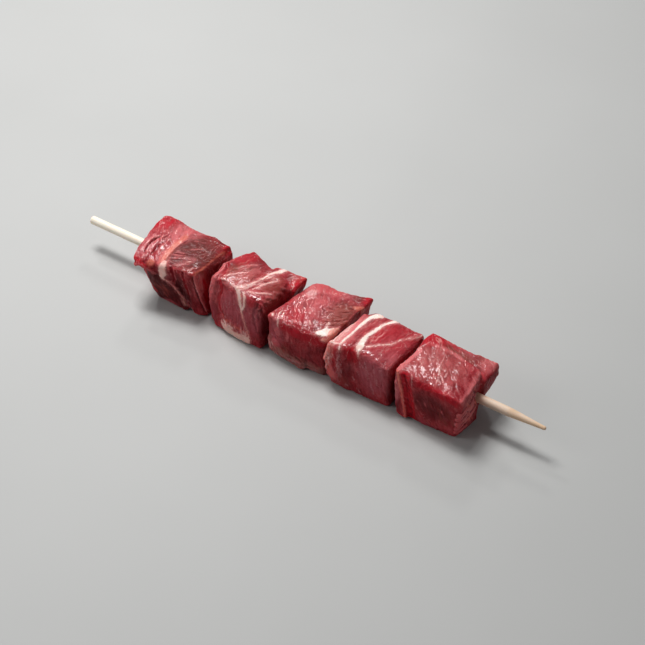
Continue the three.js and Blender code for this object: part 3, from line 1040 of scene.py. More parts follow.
# painted light on the facet at the front right
skin.patches("bloom", (0.7, (89, 21, 70), (3, 4, 10)))
skin.patches("flush", (0.9, (91, 92, 90), (3, 4, 5)))
skin.patches(
    "pale", (0.6, (36, 74, 98), (8, 9, 4)), (0.5, (48, 85, 98), (5, 6, 4)),
    (0.9, (90, 21, 66), (2.5, 4, 9)),
)
# a painted glint of film at the left end, near the top
skin.patches("film", (0.8, (3, 12, 86), (2.0, 2.5, 1.5)))
skin.patches("mauve", (0.7, (14, 32, 95), (5, 8, 4)))
skin.patches("rust", (0.3, (74, 55, 97), (12, 18, 6)), (0.7, (89, 23, 80), (3, 5, 8)))
skin.patches(
    "dusk", (1.25, (56, 40, 98), (7, 9, 5)), (1.2, (60, 62, 98), (8, 9, 5)),
    (1.0, (74, 52, 97), (8, 13, 5)), (2.0, (36, 5, 40), (13, 7, 10)), (1.0, (68, 10, 40), (9, 6, 12)),
    (0.6, (92, 55, 80), (2.5, 9, 6)), (1.3, (56, 9, 40), (4, 5, 8)),
)
# The back left corner stands up, bright red
skin.patch("flush", 0.8, (8, 84, 96), (7, 7, 5), relief=0.5)
skin.tell("grain and tints")

# %% [markdown]
# The front is dark and full of folds. The left muscle hangs over it like a lip, a flap of meat stands
# along its right edge, and the folds are bright red inside, where they were closed until the cut.
# %% First cube: front
# Brown streaks low down, and the lips of the left muscle and of the seam
skin.scatter("rust", 0.9, 10, (40, 5, 35), (12, 2, 12), (0.6, 0, -0.8), 6, 1.2)
skin.lip(1.6, 4, (14, 6, 82), (26, 2, 77), (42, 7, 67))
skin.lip(1.1, 4, (42, 7, 68), (57, 9, 59), (69, 12, 35), (80, 17, 6), flush=0.2)
# Two creases that start under the front edge
skin.groove(0.5, (1.4, 1.6, 0.8), (58, 12, 92), (61, 9, 80), (61, 11, 61), flush=1)
skin.groove(0.45, (1.2, 1.6, 0.8), (73, 13, 91), (76, 14, 60), (80, 14, 40), flush=1)
# A flap along the right edge
flap = (85, 17, 93), (88, 15, 74), (90, 19, 43), (94, 20, 22), (98, 22, 6)
skin.lip(1.0, 3, *flap, flush=0)
skin.strand("film", 0.4, (0.5, 0.8, 0.6, 0.9), *flap)
# Red inside the folds, and a paler edge of the left muscle
skin.strand("flush", 1.0, (1.6, 2.8, 2.4), (91, 30, 72), (95, 28, 41), (98, 27, 17), (98, 23, 4))
skin.strand("flush", 1.0, (1.8, 2.6, 1.6), (25, 2, 76), (24, 7, 54), (29, 8, 35), (36, 8, 24))
skin.strand("ember", 0.8, 1.3, (14, 13, 66), (18, 8, 58), (24, 6, 46))
skin.strand("flush", 0.9, 2.4, (14, 3, 87), (27, 3, 80))
skin.tell("front")

# %% [markdown]
# On top, the left muscle has split along its grain. Three bundles stand up, and the grooves between
# them are deep. Short streaks of film, painted glints, and of red cross them.
# %% First cube: left muscle
# The seam's edge stands a little above the left muscle
skin.lip(0.3, 3, (49, 10, 92), (46, 30, 96), (46, 50, 98), (50, 75, 99), flush=0)
# Bundles, and the grooves between them
skin.ridge(0.35, (1.0, 3.0, 1.6), (13, 52, 96), (10, 36, 95), (12, 20, 92), pale=0.45)
skin.ridge(0.4, (0.8, 2.6, 1.8), (24, 62, 98), (20, 44, 97), (21, 22, 94), pale=0.45)
skin.ridge(0.3, (0.6, 1.8, 1.0), (32, 50, 98), (31, 36, 96), (33, 24, 95), pale=0.45)
skin.groove(0.9, (0.3, 2.2, 1.6, 0.4), (21, 58, 98), (16, 44, 96), (15, 32, 95), (17, 18, 92), flush=1.0)
skin.groove(0.6, (0.3, 1.8, 0.4), (27, 46, 98), (26, 34, 97), (27, 18, 94), flush=1.0)
# Streaks; those of film are painted glints
skin.scatter("film", 0.6, 9, (17, 36, 96), (9, 18, 0), (0.3, -0.95, 0), 3, 1.7, relief=0.15)
skin.scatter("film", 0.6, 9, (27, 50, 98), (5, 8, 0), (0.9, -0.3, 0), 2, 1.2, relief=0.2)
skin.scatter("flush", 1.0, 9, (20, 36, 96), (11, 18, 0), (0.6, -0.8, 0), 2.5, 0.9, relief=-0.25)
skin.tell("left muscle")

# %% [markdown]
# The seam is soft fat in pink meat, so it is built from several strands, each wider and fainter than
# the next. It ends in the pale lump on the front edge. The dark muscle gets fine lines on its grain.
# %% First cube: seam and dark muscle
# The pale lump on the front edge
skin.fat((1.6, 4.2, 4.4, 2.4), (50, 8, 68), (49, 8, 76), (49, 10, 84), (49, 14, 92), raised=0.5, peach=0.5)
# painted light on the pale lump
skin.patch("bloom", 1.0, (48, 9, 82), (4.5, 4, 6), relief=0.5)
skin.patch("ember", 0.7, (33, 7, 88), (2.6, 2.6, 2), relief=0.3)
# The seam over the top, and its thin line down the front
skin.strand(
    "pale", 1.0, (4.6, 4.0, 3.8, 3.6), (46, 14, 93), (43, 26, 96), (41, 40, 97), (42, 60, 99),
    (39, 80, 99), soft=1.4, relief=0.1,
)
skin.strand(
    "ember", 0.7, (3.0, 3.2, 3.0, 2.2), (46, 14, 93), (43, 26, 96), (42, 44, 98), (43, 72, 99), soft=1.2,
)
skin.strand(
    "cream", 0.35, (2.4, 2.8, 2.4, 1.6), (46, 14, 93), (43, 26, 96), (42, 40, 97), (43, 62, 99), soft=1.5,
    relief=0.1,
)
skin.scatter("cream", 0.7, 14, (43, 36, 96), (3, 24, 0), (-0.1, 1, 0), 3, 0.7, relief=0.1)
skin.fat(
    (2.0, 1.3, 0.9, 0.9, 1.0, 1.4), (46, 7, 68), (48, 8, 62), (57, 9, 59), (63, 9, 49), (69, 12, 35),
    (73, 13, 18), (80, 17, 7), peach=0.35,
)
# Fine lines of the dark muscle
skin.scatter("pale", 0.8, 9, (63, 45, 98), (13, 30, 0), (0.86, 0.42, 0), 6, 0.8, relief=0.15)
skin.scatter("film", 0.8, 7, (60, 36, 98), (11, 24, 0), (0.86, 0.42, 0), 5, 0.5, relief=0.15)
skin.scatter("wet", 1.0, 7, (66, 26, 97), (13, 14, 0), (0.86, 0.42, 0), 5, 1.4)
skin.scatter("cream", 0.7, 6, (60, 26, 97), (11, 14, 0), (0.86, 0.42, 0), 4, 0.5, relief=0.15)
skin.scatter("dusk", 0.9, 14, (63, 45, 98), (13, 30, 0), (0.86, 0.42, 0), 7, 0.8, relief=-0.25)
# The seam runs on down the back
skin.fat((1.6, 1.0, 0.7), (36, 97, 93), (34, 100, 70), (38, 100, 30), peach=0.7)
# A wet rim along the right edge: the streaks of film on it are painted glints, and the orange
# strand along the edge is a painted glow, as if light shone through it
skin.scatter("film", 0.8, 5, (81, 60, 97), (3, 25, 0), (0.1, 1, 0), 4, 0.6, relief=0.1)
skin.strand(
    "ember", 0.6, (1.4, 0.9, 1.4, 1.2), (92, 93, 82), (91, 79, 91), (89, 50, 93), (88, 37, 92),
    (87, 20, 92),
)
skin.strand("wet", 1, 1.8, (81, 15, 94), (80, 28, 94), (79, 39, 96))
skin.scatter("film", 1.0, 8, (80, 27, 95), (3, 12, 0), (0.1, 1, 0), 2.5, 0.8, relief=0.15)
dress(skin)

# %% [markdown]
# ## Second cube: a fan of thin seams
# Cream fat gathers in a knot on the front edge. From it thin seams fan out over the top, and a Y of
# fat hangs down the front. A separate paler strip lies along the left, a strip of fat along the
# floor, and the back right corner is a lobe with a wrinkled flank.
# %% Second cube: grain and tints
skin = GrainedSkin(CUBES[1], seed=1)
skin.grain(0.5, 0.87)
skin.fan((47, 18, 95), where=skin.right_of(50))
skin.grain_sides(0.12)
skin.patches("wet", (0.5, (30, 32, 97), (7, 6, 4)))
skin.patches(
    "flush", (0.7, (18, 82, 94), (9, 8, 5)), (0.5, (64, 10, 86), (4, 3, 3)), (1, (98, 80, 86), (4, 7, 6)),
)
skin.patches("pale", (0.6, (4, 45, 85), (2.5, 8, 3)), (0.5, (90, 92, 92), (4, 4, 3)))
# painted glow: the end of the lobe is orange, as if light shone through it
skin.patches("ember", (0.6, (98, 84, 90), (3, 5, 4)))
skin.patches("mauve", (0.7, (72, 8, 55), (5, 4, 10)), (0.7, (45, 8, 60), (14, 5, 12)))
skin.patches(
    "rust", (0.75, (33, 42, 97), (10, 10, 4)), (0.7, (73, 50, 97), (7, 9, 4)),
    (0.7, (85, 35, 90), (3, 8, 6)),
)
# the dark patch at the right end is painted shade under the lobe
skin.patches(
    "dusk", (0.9, (24, 70, 95), (10, 9, 5)), (0.6, (86, 12, 45), (3, 5, 10)),
    (0.5, (14, 12, 28), (4, 5, 6)), (0.8, (100, 78, 60), (3, 7, 5)),
)
# A blunt back corner, and a swelling at the left
skin.round_corner(0.5, (21, 98, 95))
skin.patch("pale", 0.75, (6, 22, 68), (3, 7, 9), relief=0.7)
skin.tell("grain and tints")

# %% [markdown]
# The seams of the fan are thin and uneven in width. The longest is firm fat; the others are cream,
# which is softer. A groove parts the paler strip at the left from the rest.
# %% Second cube: fan on top
# The groove and the strip beside it
skin.groove(
    0.35, (0.8, 1.8, 2.2, 1.6), (5, 64, 90), (11, 49, 92), (15, 27, 91), (21, 17, 78), (18, 15, 59),
    (21, 11, 46), (31, 5, 31), flush=0.7,
)
skin.ridge(0.35, 1.4, (2, 60, 86), (7, 45, 90), (8, 26, 86), pale=0.7)
# The knot and the seams that leave it
skin.strand("cream", 0.7, (2.6, 3.4, 2.2), (43, 21, 96), (50, 26, 96), (56, 38, 97), soft=1.0, relief=0.2)
skin.fat(
    (0.8, 1.0, 1.0, 1.4, 2.0, 2.6), (49, 23, 96), (54, 37, 97), (60, 49, 98), (62, 65, 96), (65, 76, 96),
    (71, 88, 94),
)
for widths, spots in (
    ((0.6, 1.1, 0.9), ((57, 49, 98), (65, 60, 98), (68, 77, 95))),
    ((1.0, 1.3, 1.5, 0.7), ((61, 28, 96), (67, 42, 97), (71, 54, 98), (77, 64, 96))),
    ((1.2, 1.3, 0.6), ((57, 19, 96), (69, 24, 96), (76, 31, 96), (83, 36, 94))),
    ((1.0, 0.8, 0.4), ((15, 28, 92), (23, 35, 96), (31, 47, 96), (42, 55, 98))),
    ((0.4, 0.7, 0.3), ((26, 56, 97), (32, 65, 97), (41, 73, 98))),
    ((0.9, 0.9, 1.5), ((15, 26, 92), (27, 23, 94), (43, 20, 95))),
    ((0.5, 0.8, 0.4), ((89, 82, 90), (94, 69, 89), (93, 66, 84))),
):
    skin.strand("cream", 0.6, widths, *spots, relief=0.25)
skin.scatter("cream", 0.45, 12, (32, 40, 97), (16, 20, 0), (0.55, 0.83, 0), 6, 0.5, relief=0.1)
skin.tell("fan on top")

# %% [markdown]
# The Y hangs from the knot: two arms over the front edge, one thin leg. The meat round it is
# painted brighter than the rest of the front, painted light as if the fat threw light into it.
# %% Second cube: front
# Streaks down the front
skin.scatter("film", 0.35, 10, (40, 6, 55), (20, 2, 25), (0.2, 0, -1), 7, 1.4)
skin.scatter("dusk", 0.6, 12, (50, 5, 50), (25, 2, 25), (0.2, 0, -1), 7, 1.2)
# The longest seam runs on down the back
skin.fat((2.2, 1.2, 0.8, 0.6), (71, 90, 93), (74, 100, 75), (70, 100, 45), (72, 100, 15), peach=0.3)
# Red streaks between the seams, and a wet front edge
skin.scatter("flush", 0.6, 10, (68, 45, 97), (12, 22, 0), (0.75, 0.65, 0), 6, 0.8, relief=-0.2)
skin.strand("wet", 1, 1.8, (15, 26, 92), (43, 20, 95), (60, 17, 94), (75, 17, 94))
# The Y of fat
skin.fat((2.4, 2.6, 2.0, 1.4), (44, 18, 95), (49, 13, 87), (52, 9, 75), (55, 7, 65), peach=0.4)
skin.fat((1.6, 1.6, 1.4), (53, 17, 95), (57, 12, 89), (58, 9, 73), (55, 7, 65), peach=0.3)
skin.strand("ember", 0.8, 1.0, (51, 15, 91), (54, 10, 78))
# painted light round the Y
skin.strand("bloom", 1.0, (4.5, 3.5, 3.0), (49, 15, 92), (54, 9, 75), (55, 6, 62), soft=1.2)
skin.fat((1.2, 0.6, 0.6, 1.0), (55, 6, 62), (59, 4, 48), (63, 3, 34), (68, 1, 17), peach=0.6, raised=0.2)
skin.tell("front")

# %% [markdown]
# A strip of peach fat borders the front at the floor. It is knobbly, with streaks of cream, film and
# red through it.
# %% Second cube: fat along the floor
skin.fat(
    (1.6, 4.4, 3.0, 4.8, 3.6), (27, 6, 18), (36, 4, 11), (46, 2, 8), (56, 1, 7), (66, 0, 6), peach=0.55,
    raised=0.4,
)
skin.fat((1.0, 2.4, 1.0), (30, 5, 24), (38, 3, 18), (45, 2, 17), peach=0.5, raised=0.2)
skin.fat((0.8, 2.0, 2.6), (56, 1, 17), (62, 1, 15), (67, 0, 12), peach=0.5, raised=0.2)
skin.scatter("cream", 0.55, 12, (50, 2, 22), (16, 0, 3), (0.4, 0, -1), 3, 1.6, relief=0.15)
skin.scatter("film", 0.6, 18, (50, 2, 26), (16, 0, 5), (0.25, 0, -1), 4, 1.0, relief=0.15)
skin.scatter("flush", 0.8, 9, (50, 2, 12), (16, 0, 6), (0.9, 0, -0.3), 3, 0.8, relief=-0.3)
# painted light on the strip of fat
skin.strand("bloom", 0.8, 7.0, (30, 6, 16), (48, 2, 10), (68, 0, 8), soft=1.5)
skin.strand("ember", 0.45, 1.6, (28, 6, 32), (41, 4, 25), (52, 2, 25), (63, 1, 24))
skin.strand("film", 0.6, (0.7, 0.9), (23, 10, 46), (31, 5, 30))
skin.tell("fat along the floor")

# %% [markdown]
# Where the lobe turns down to the right, the skin of the muscle is folded and finely wrinkled.
# %% Second cube: flank of the lobe
# Dark folds under the right end of the front edge, with painted shade in them
for spots in (
    ((77, 12, 88), (73, 8, 72), (74, 6, 50), (79, 6, 34)),
    ((83, 13, 84), (78, 9, 70), (80, 7, 58)),
):
    skin.strand("dusk", 1.5, (0.5, 1.8, 1.4, 0.4), *spots, soft=0.7, relief=-0.35)
skin.scatter("dusk", 0.8, 8, (82, 10, 62), (5, 3, 16), (-0.1, 0, -1), 4, 1.0, relief=-0.15)
skin.scatter("pale", 0.8, 6, (82, 12, 80), (5, 3, 10), (-0.1, 0, -1), 3, 1.0, relief=0.2)
# Wrinkles
for spots in (
    ((76, 16, 94), (82, 20, 91), (87, 27, 84)),
    ((81, 28, 94), (85, 32, 91), (88, 40, 83)),
    ((84, 42, 94), (87, 46, 90), (88, 54, 82)),
    ((85, 56, 93), (88, 60, 89), (89, 66, 82)),
):
    skin.ridge(0.2, 1.0, *spots, pale=0.35)
dress(skin)

# %% [markdown]
# ## Third cube: lean, with a corner of fat
# Almost all lean and very wet, with fine creases that glitter. One small lump of white and salmon
# fat sits on the front right corner, and a tan rim of dried surface runs along the floor.
# %% Third cube: grain and tints
skin = GrainedSkin(CUBES[2], seed=2)
skin.grain(0.45, -0.89)
skin.grain(0.85, 0.5, where=skin.right_of(62))
skin.grain_sides(0.1)
skin.patches(
    "wet", (0.5, (50, 34, 98), (12, 8, 5)), (0.9, (15, 20, 94), (5, 6, 4)), (1.0, (26, 62, 96), (4, 4, 3)),
    (0.9, (20, 50, 95), (4, 9, 4)),
)
skin.patches(
    "flush", (0.6, (30, 22, 97), (9, 6, 4)), (0.4, (40, 88, 93), (9, 6, 5)),
    (1.0, (98, 93, 90), (4, 5, 7)),
)
# the pale patches towards the back are painted sheen
skin.patches(
    "pale", (0.3, (45, 50, 98), (13, 10, 4)), (0.75, (22, 80, 93), (8, 7, 4)),
    (0.9, (25, 62, 96), (4, 3, 3)), (0.7, (45, 85, 95), (9, 5, 4)),
)
# painted sheen of film at the back left
skin.patches("film", (0.7, (27, 66, 96), (3, 4, 2)))
skin.patches("mauve", (0.8, (16, 5, 55), (5, 4, 9)))
skin.patches("rust", (0.95, (80, 50, 97), (7, 11, 4)))
skin.patches("dusk", (0.3, (60, 3, 32), (11, 5, 6)), (0.7, (84, 50, 97), (6, 9, 4)))
# A blunt back corner
skin.round_corner(0.45, (18, 89, 90))
# A bright band of painted light under the front edge
skin.strand("flush", 1.0, (3.5, 5.5, 5.0), (28, 6, 82), (50, 6, 82), (74, 8, 82), (90, 12, 82), soft=1.8)
skin.strand("bloom", 1.1, (4.5, 7.5, 6.0), (28, 6, 82), (50, 6, 82), (74, 8, 82), (90, 12, 82), soft=1.8)
skin.tell("grain and tints")

# %% [markdown]
# The top glitters because its juice lies in short creases; short strands of film painted on it as
# glints add to that, most at the left, and a few pale nicks near the front edge are painted glints too.
# %% Third cube: top
# Film along the grain, painted glints, and dark streaks sunk with painted shade in them
skin.scatter("film", 0.9, 12, (30, 58, 97), (7, 10, 0), (0.5, -0.8, 0), 3, 0.7, relief=0.12)
skin.scatter("film", 0.9, 26, (50, 32, 98), (26, 20, 0), (0.7, -0.7, 0), 1.8, 0.5, relief=0.15)
skin.scatter("dusk", 0.9, 18, (80, 48, 97), (13, 22, 0), (0.8, 0.5, 0), 6, 0.7, relief=-0.2)
# Pale nicks near the front edge, painted glints of cream
for widths, spots in (
    ((0.4, 1.0, 0.6), ((13, 23, 95), (14, 16, 95), (17, 9, 93))),
    ((0.5, 0.9, 0.6), ((18, 21, 95), (23, 10, 94))),
    ((1.6, 1.2), ((6, 12, 94), (9, 9, 94))),
    ((1.2, 0.6), ((18, 8, 92), (20, 4, 77))),
    ((0.6, 1.0, 0.5), ((54, 24, 98), (59, 20, 97), (64, 22, 97))),
):
    skin.strand("cream", 0.8, widths, *spots, relief=0.25)
# The wet front edge, with film along it painted as glints
front_edge = (25, 8, 93), (45, 8, 91), (62, 8, 91), (76, 12, 93)
skin.strand("wet", 1, 1.8, *front_edge)
skin.strand("film", 0.5, 0.6, *front_edge)
skin.scatter("film", 1.0, 12, (42, 11, 93), (24, 3, 1), (1, -0.1, 0), 2.2, 0.9, relief=0.2)
skin.scatter("film", 1.0, 10, (66, 26, 97), (8, 8, 0), (0.6, -0.8, 0), 2, 0.7, relief=0.15)
skin.tell("top")

# %% [markdown]
# The lump of fat is white on top and salmon where it turns down. Beyond it, dark partings run to the
# right edge, which is a little raised.
# %% Third cube: corner of fat and right edge
skin.fat((2.2, 4.0, 4.4, 3.0), (74, 14, 94), (80, 17, 95), (86, 21, 96), (89, 26, 96), peach=0, raised=0.3)
skin.fat((2.0, 1.0, 0.5), (80, 21, 96), (79, 28, 97), (76, 36, 97), peach=0, raised=0.2)
skin.fat((2.6, 4.2, 3.4), (93, 30, 95), (95, 22, 94), (94, 15, 88), peach=1.2, raised=0.2)
skin.fat((2.0, 2.8), (84, 11, 88), (92, 12, 86), peach=1.1, raised=0.1)
# Dark partings, with painted shade in them, and the raised edge
for widths, spots in (
    ((0.5, 0.9, 0.6), ((74, 34, 97), (84, 41, 97), (93, 51, 96))),
    ((0.5, 0.8, 0.5), ((64, 60, 100), (71, 67, 98), (77, 74, 97))),
    ((0.5, 0.8, 0.5), ((57, 49, 99), (72, 45, 97), (86, 50, 97))),
    ((2.0, 2.4, 2.0), ((96, 40, 90), (97, 53, 91), (98, 70, 90))),
):
    skin.strand("dusk", 0.9, widths, *spots, relief=-0.25)
skin.strand("ember", 0.8, (1.6, 2.6), (90, 72, 97), (98, 77, 93), soft=0.9, relief=0.2)
skin.ridge(0.3, 0.8, (95, 34, 90), (96, 48, 87), (98, 66, 88), pale=0.3)
skin.strand("cream", 0.8, (0.4, 0.6, 0.3), (96, 48, 87), (96, 58, 93), (98, 74, 92))
skin.tell("corner of fat and right edge")

# %% [markdown]
# The front is smooth, with a few low knobs at its left, and the tan rim at the floor.
# %% Third cube: front
# Knobs and pale lines
skin.patch("pale", 0.5, (20, 4, 66), (2.4, 2, 2.6), relief=0.6)
skin.patch("pale", 0.4, (16, 3, 36), (3, 2, 3), relief=0.6)
skin.patch("rust", 0.6, (30, 2, 30), (4, 3, 4), relief=0.4)
skin.strand("pale", 0.8, (1.0, 1.6, 1.0), (35, 5, 78), (34, 4, 54), soft=0.8)
skin.strand("film", 0.6, 0.6, (17, 4, 38), (14, 4, 34))
# The tan rim
rim = (1, 7, 34), (10, 4, 16), (35, 0, 13), (55, 1, 10), (87, 7, 8)
skin.strand("tan", 0.9, (5, 7, 7, 6, 5), *rim, soft=1.5, relief=0.3)
skin.scatter("dusk", 0.9, 16, (50, 2, 25), (35, 2, 12), (0.8, 0, -0.5), 5, 1.4, relief=-0.15)
# A seam in the back
skin.fat((1.0, 1.8, 1.0), (62, 100, 80), (50, 100, 50), (55, 100, 20), peach=0.5)
# Film and cream on the rim
skin.scatter("film", 0.7, 26, (45, 2, 10), (40, 2, 8), (1, 0, -0.1), 5, 1.0, relief=0.15)
skin.scatter("cream", 0.7, 8, (8, 5, 25), (6, 3, 12), (0.6, 0, -0.8), 4, 1.0, relief=0.15)
dress(skin)

# %% [markdown]
# ## Fourth cube: two bands of fat
# The clearest cut of the five: two white bands cross the top from back to front, the left one
# running down the front as a film, the right one ending in a spike. A hairline seam runs off to the
# back right corner.
# %% Fourth cube: grain and tints
skin = GrainedSkin(CUBES[3], seed=3)
skin.grain(0.12, 0.99)
skin.grain_sides(0.3)
# painted light on the lower left of the front
skin.patches("bloom", (0.9, (4, 6, 68), (5, 4, 8)))
skin.patches("flush", (0.6, (65, 60, 97), (12, 12, 4)), (1.0, (38, 13, 84), (4.5, 4, 4.5)))
skin.patches("pale", (1.2, (3, 6, 62), (4, 4, 9)), (1.2, (12, 45, 94), (5, 14, 3)))
skin.patches("ember", (0.4, (4, 8, 72), (4, 4, 7)))
skin.patches("cream", (0.5, (6, 40, 93), (4, 12, 3)), (0.25, (5, 8, 72), (4, 4, 6)))
skin.patches("mauve", (0.45, (75, 40, 97), (9, 9, 4)), (0.85, (72, 10, 60), (9, 5, 12)))
skin.patches("rust", (0.5, (28, 3, 18), (6, 4, 4)))
skin.patches("dusk", (0.4, (36, 6, 45), (4, 4, 5)), (0.6, (97, 15, 42), (2.2, 5, 9)))
skin.tell("grain and tints")

# %% [markdown]
# The bands change in width along their way, which is what makes a seam look grown. Both run on down
# the back and thin out.
# %% Fourth cube: bands of fat
# The left band
skin.fat(
    (3.6, 2.6, 1.5, 1.4, 1.8), (34, 93, 95), (24, 77, 94), (23, 59, 95), (21, 39, 95), (19, 20, 94),
    (19, 15, 93), peach=0,
)
skin.fat((1.8, 1.0), (19, 15, 93), (21, 8, 84), peach=0.1)
skin.fat((3.0, 1.8, 1.0, 0.7), (34, 95, 93), (36, 100, 72), (30, 100, 45), (33, 100, 15), peach=0.2)
# The right band
skin.fat(
    (2.4, 1.9, 1.9, 2.2, 2.8, 3.4), (57, 97, 93), (50, 85, 96), (46, 70, 98), (43, 56, 98), (41, 43, 98),
    (42, 30, 98), (43, 22, 96), peach=0,
)
skin.fat((3.0, 1.5, 0.4), (43, 21, 95), (45, 17, 93), (48, 13, 85), peach=0.35)
skin.fat((2.2, 1.4, 0.8), (57, 98, 90), (60, 100, 62), (66, 100, 35), peach=0.3)
# The hairline seam
skin.fat(
    (0.5, 0.9, 0.9, 0.6), (48, 28, 97), (58, 35, 99), (65, 43, 98), (74, 53, 97), (80, 66, 96),
    (96, 94, 91), peach=0.2, raised=0.05,
)
# The wet front edge, with film along it painted as glints
skin.strand("wet", 0.8, 1.2, (20, 15, 93), (55, 21, 96), (67, 19, 95), (78, 16, 92), (90, 14, 90))
skin.strand("film", 0.5, (0.3, 0.6), (50, 21, 96), (67, 19, 95), (90, 14, 90))
skin.tell("bands of fat")

# %% [markdown]
# Below the left band the front carries a film, and a pale, lumpy strip lies along its left edge.
# %% Fourth cube: front
# The film below the left band, and streaks of film
skin.strand(
    "film", 0.5, (1.2, 2.4, 2.8, 1.6), (21, 7, 80), (22, 4, 62), (25, 3, 45), (25, 3, 31), soft=1.0,
    relief=0.2,
)
skin.scatter("film", 0.9, 12, (24, 3, 52), (4, 0, 20), (0.1, 0, -1), 4, 0.8, relief=0.1)
skin.scatter("film", 0.45, 14, (70, 5, 55), (20, 0, 25), (0.35, 0, -1), 7, 1.6)
# Hairlines, and a pale lip
for spots in (
    ((69, 46, 98), (69, 36, 96), (73, 27, 95)),
    ((76, 66, 96), (86, 64, 95), (93, 58, 94)),
    ((12, 6, 75), (20, 4, 63)),
    ((7, 6, 66), (14, 3, 50)),
    ((32, 13, 92), (31, 11, 79), (29, 8, 66)),
    ((13, 2, 40), (24, 3, 36)),
):
    skin.strand("film", 0.5, (0.3, 0.7, 0.3), *spots, relief=0.1)
skin.strand("cream", 0.85, (1.4, 1.0), (3, 15, 89), (17, 15, 93))
# The strip along the left edge
left_strip = (3, 10, 83), (2, 6, 67), (6, 3, 53), (11, 1, 39), (17, 0, 27)
skin.strand("pale", 1.2, (4.0, 4.6, 4.2, 3.4), *left_strip, soft=1.6, relief=0.3)
skin.strand("ember", 0.4, (2.6, 3.2, 2.8, 2.0), *left_strip, soft=1.4)
skin.scatter("cream", 0.45, 10, (7, 5, 60), (5, 4, 25), (0.2, 0, -1), 5, 1.0, relief=0.12)
skin.scatter("pale", 1.0, 8, (4, 5, 50), (5, 4, 30), (0.8, 0, -0.5), 2.5, 1.6, relief=0.5)
skin.strand("flush", 0.6, (1.2, 1.8, 1.4), (15, 12, 90), (15, 6, 66), (19, 4, 44), soft=0.8)
# Dark streaks and pale nicks low down
skin.scatter("dusk", 0.7, 14, (45, 4, 25), (30, 2, 18), (0.5, 0, -1), 6, 1.4)
for spots in (
    ((33, 4, 17), (37, 4, 15)),
    ((42, 8, 38), (45, 8, 35)),
    ((50, 6, 16), (54, 6, 12)),
):
    skin.strand("film", 0.8, (0.5, 1.0), *spots)
dress(skin)

# %% [markdown]
# ## Fifth cube: lean, with a fin
# A firm lean cube whose wet top is scored by short glittering creases. A thin fin stands at its
# front left with a deep groove beside it, the front right edge is rippled like a closed fan, and a
# low lobe runs out at the back right.
# %% Fifth cube: grain and tints
skin = GrainedSkin(CUBES[4], seed=4)
skin.grain(0.62, -0.78)
skin.grain_sides(0.5)
skin.patches("wet", (0.55, (45, 42, 98), (14, 12, 6)))
# painted light on the right end and on the left side
skin.patches("bloom", (0.8, (99, 28, 55), (3, 8, 11)), (0.6, (3, 10, 50), (3, 5, 11)))
skin.patches("flush", (0.9, (12, 86, 95), (8, 7, 5)), (0.5, (100, 80, 50), (4, 8, 10)))
skin.patches(
    "pale", (0.3, (45, 42, 98), (14, 12, 6)), (0.9, (99, 28, 55), (3, 7, 10)),
    (0.3, (75, 6, 15), (9, 4, 3)), (0.6, (90, 88, 86), (5, 5, 3)),
)
skin.patches("mauve", (1.3, (3, 10, 45), (3, 5, 11)))
skin.patches(
    "rust", (0.35, (45, 45, 98), (14, 12, 5)), (0.8, (52, 84, 92), (9, 4, 4)),
    (0.5, (96, 30, 50), (3, 8, 9)),
)
# the strongest dark patch, at the end of the lobe, is painted shade
skin.patches(
    "dusk", (0.5, (66, 86, 88), (6, 3, 3)), (0.65, (55, 6, 50), (13, 4, 7)),
    (1.7, (100, 80, 50), (4, 8, 10)),
)
# A blunt back corner
skin.round_corner(0.6, (8, 95, 95))
skin.tell("grain and tints")

# %% [markdown]
# The front and the end are cut across the grain, so their streaks are short and lean. The fin is a
# pale ridge, and the groove beside it is the deepest red of the whole kebab.
# %% Fifth cube: sides and fin
# Streaks of the front and the end
skin.scatter("rust", 0.8, 14, (60, 5, 35), (28, 2, 28), (0.4, 0, -1), 6, 1.4)
skin.scatter("dusk", 0.7, 8, (98, 35, 50), (0, 20, 30), (0, 0.5, -1), 6, 1.4, relief=-0.2)
skin.scatter("ember", 0.7, 10, (98, 30, 50), (0, 18, 30), (0, 0.5, -1), 4, 1.4, relief=0.15)
skin.scatter("film", 0.8, 7, (4, 10, 40), (3, 3, 25), (0.2, 0, -1), 3, 0.9, relief=0.15)
# The fin, its thin edge painted orange as a glow, as if light shone through it
fin = (4, 11, 87), (11, 8, 63), (17, 5, 37), (24, 0, 6)
skin.strand("ember", 1.4, (1.3, 1.8, 1.6, 1.3), *fin, soft=0.5, relief=0.35)
skin.strand("cream", 0.35, (0.5, 0.9, 0.7, 0.4), *fin, soft=0.4)
# The groove beside the fin
groove = (15, 8, 88), (20, 5, 62), (25, 4, 36), (30, 2, 8)
skin.strand("flush", 1.6, (3.4, 4.6, 4.8, 3.4), *groove, soft=1.4, relief=-0.5)
skin.groove(0.35, (0.8, 1.8, 2.2, 1.4), *groove, flush=1.0)
skin.tell("sides and fin")

# %% [markdown]
# The top is covered by short strands of film on one slant, painted glints. Its edges are paler,
# where the knife smeared the surface, and a bright band of painted light lies under the front edge.
# %% Fifth cube: top
# A dark parting before the lobe
skin.strand("dusk", 0.5, (2.0, 3.0, 1.5), (84, 76, 88), (61, 80, 92), (34, 82, 95), soft=1.2)
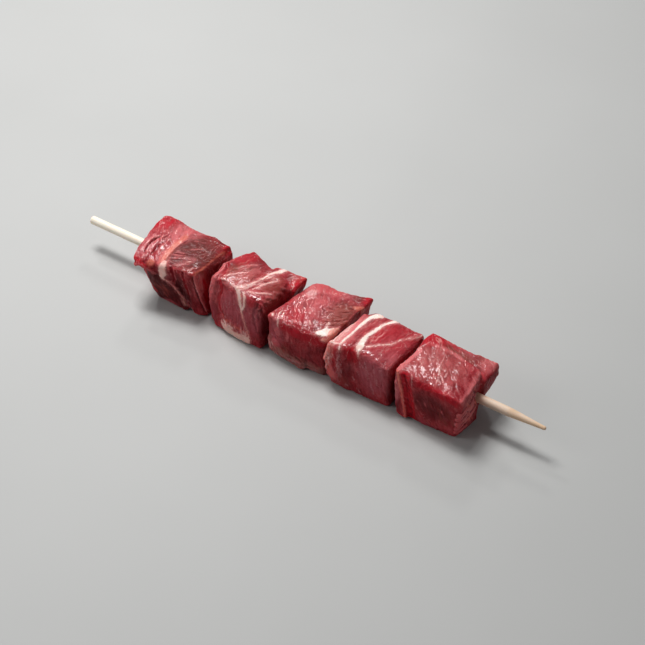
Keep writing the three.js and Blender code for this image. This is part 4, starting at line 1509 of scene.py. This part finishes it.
# Film and cream on the grain; the short strands of film on the top are painted glints
skin.scatter("film", 0.9, 30, (48, 42, 98), (30, 28, 0), (0.35, -0.9, 0), 3, 0.6, relief=0.12)
skin.scatter("cream", 0.8, 6, (52, 28, 97), (6, 12, 0), (0.35, -0.9, 0), 4, 0.8, relief=0.15)
skin.scatter("film", 0.6, 14, (60, 85, 90), (25, 6, 0), (1, -0.2, 0), 4, 0.5, relief=0.1)
# Pale edges
for strength, widths, spots in (
    (1.1, 5.0, ((3, 19, 90), (4, 39, 91), (7, 53, 95))),
    (0.8, 2.2, ((12, 72, 97), (27, 73, 97), (45, 74, 97), (62, 71, 95))),
    (0.8, 2.6, ((88, 64, 91), (93, 33, 92), (94, 9, 89))),
    (0.5, 1.6, ((86, 92, 87), (95, 97, 86))),
):
    skin.strand("pale", strength, widths, *spots, soft=0.9)
# Single creases, with film painted on them as glints
for widths, spots in (
    ((0.6, 1.2, 0.6), ((5, 54, 93), (10, 64, 97), (13, 74, 97))),
    ((0.4, 0.8, 1.3, 0.4), ((44, 48, 99), (49, 33, 98), (54, 22, 96), (66, 14, 94))),
    ((0.8, 0.7, 0.3), ((24, 11, 93), (26, 7, 84), (27, 6, 75))),
):
    skin.strand("film", 0.8, widths, *spots, relief=0.15)
# A bright band of painted light under the front edge
front_edge = (34, 7, 87), (64, 6, 86), (88, 5, 84)
skin.strand("flush", 1.0, (3.0, 3.6, 3.0), *front_edge, soft=1.2)
skin.strand("bloom", 0.8, (3.0, 3.6, 3.0), *front_edge, soft=1.2)
skin.tell("top")

# %% [markdown]
# The ripples of the front right edge follow a rule: each is a ridge that starts at the edge and runs
# back over the end, so one loop makes all five from their height, reach and rise.
# %% Fifth cube: rippled edge
for height, reach, rise in ((60, 14, 6), (50, 40, 20), (38, 22, 5), (26, 44, 16), (15, 18, 2)):
    skin.ridge(
        0.6, (0.8, 2.8, 1.8, 0.6), (91, 3, height - 2), (96.5, 5, height),
        (99, 5 + reach / 2, height + rise / 2), (100, 5 + reach, height + rise), pale=1.0,
    )
skin.scatter("pale", 0.8, 12, (55, 4, 30), (25, 0, 22), (0.6, 0, -0.8), 2.5, 0.9, relief=0.1)
dress(skin)
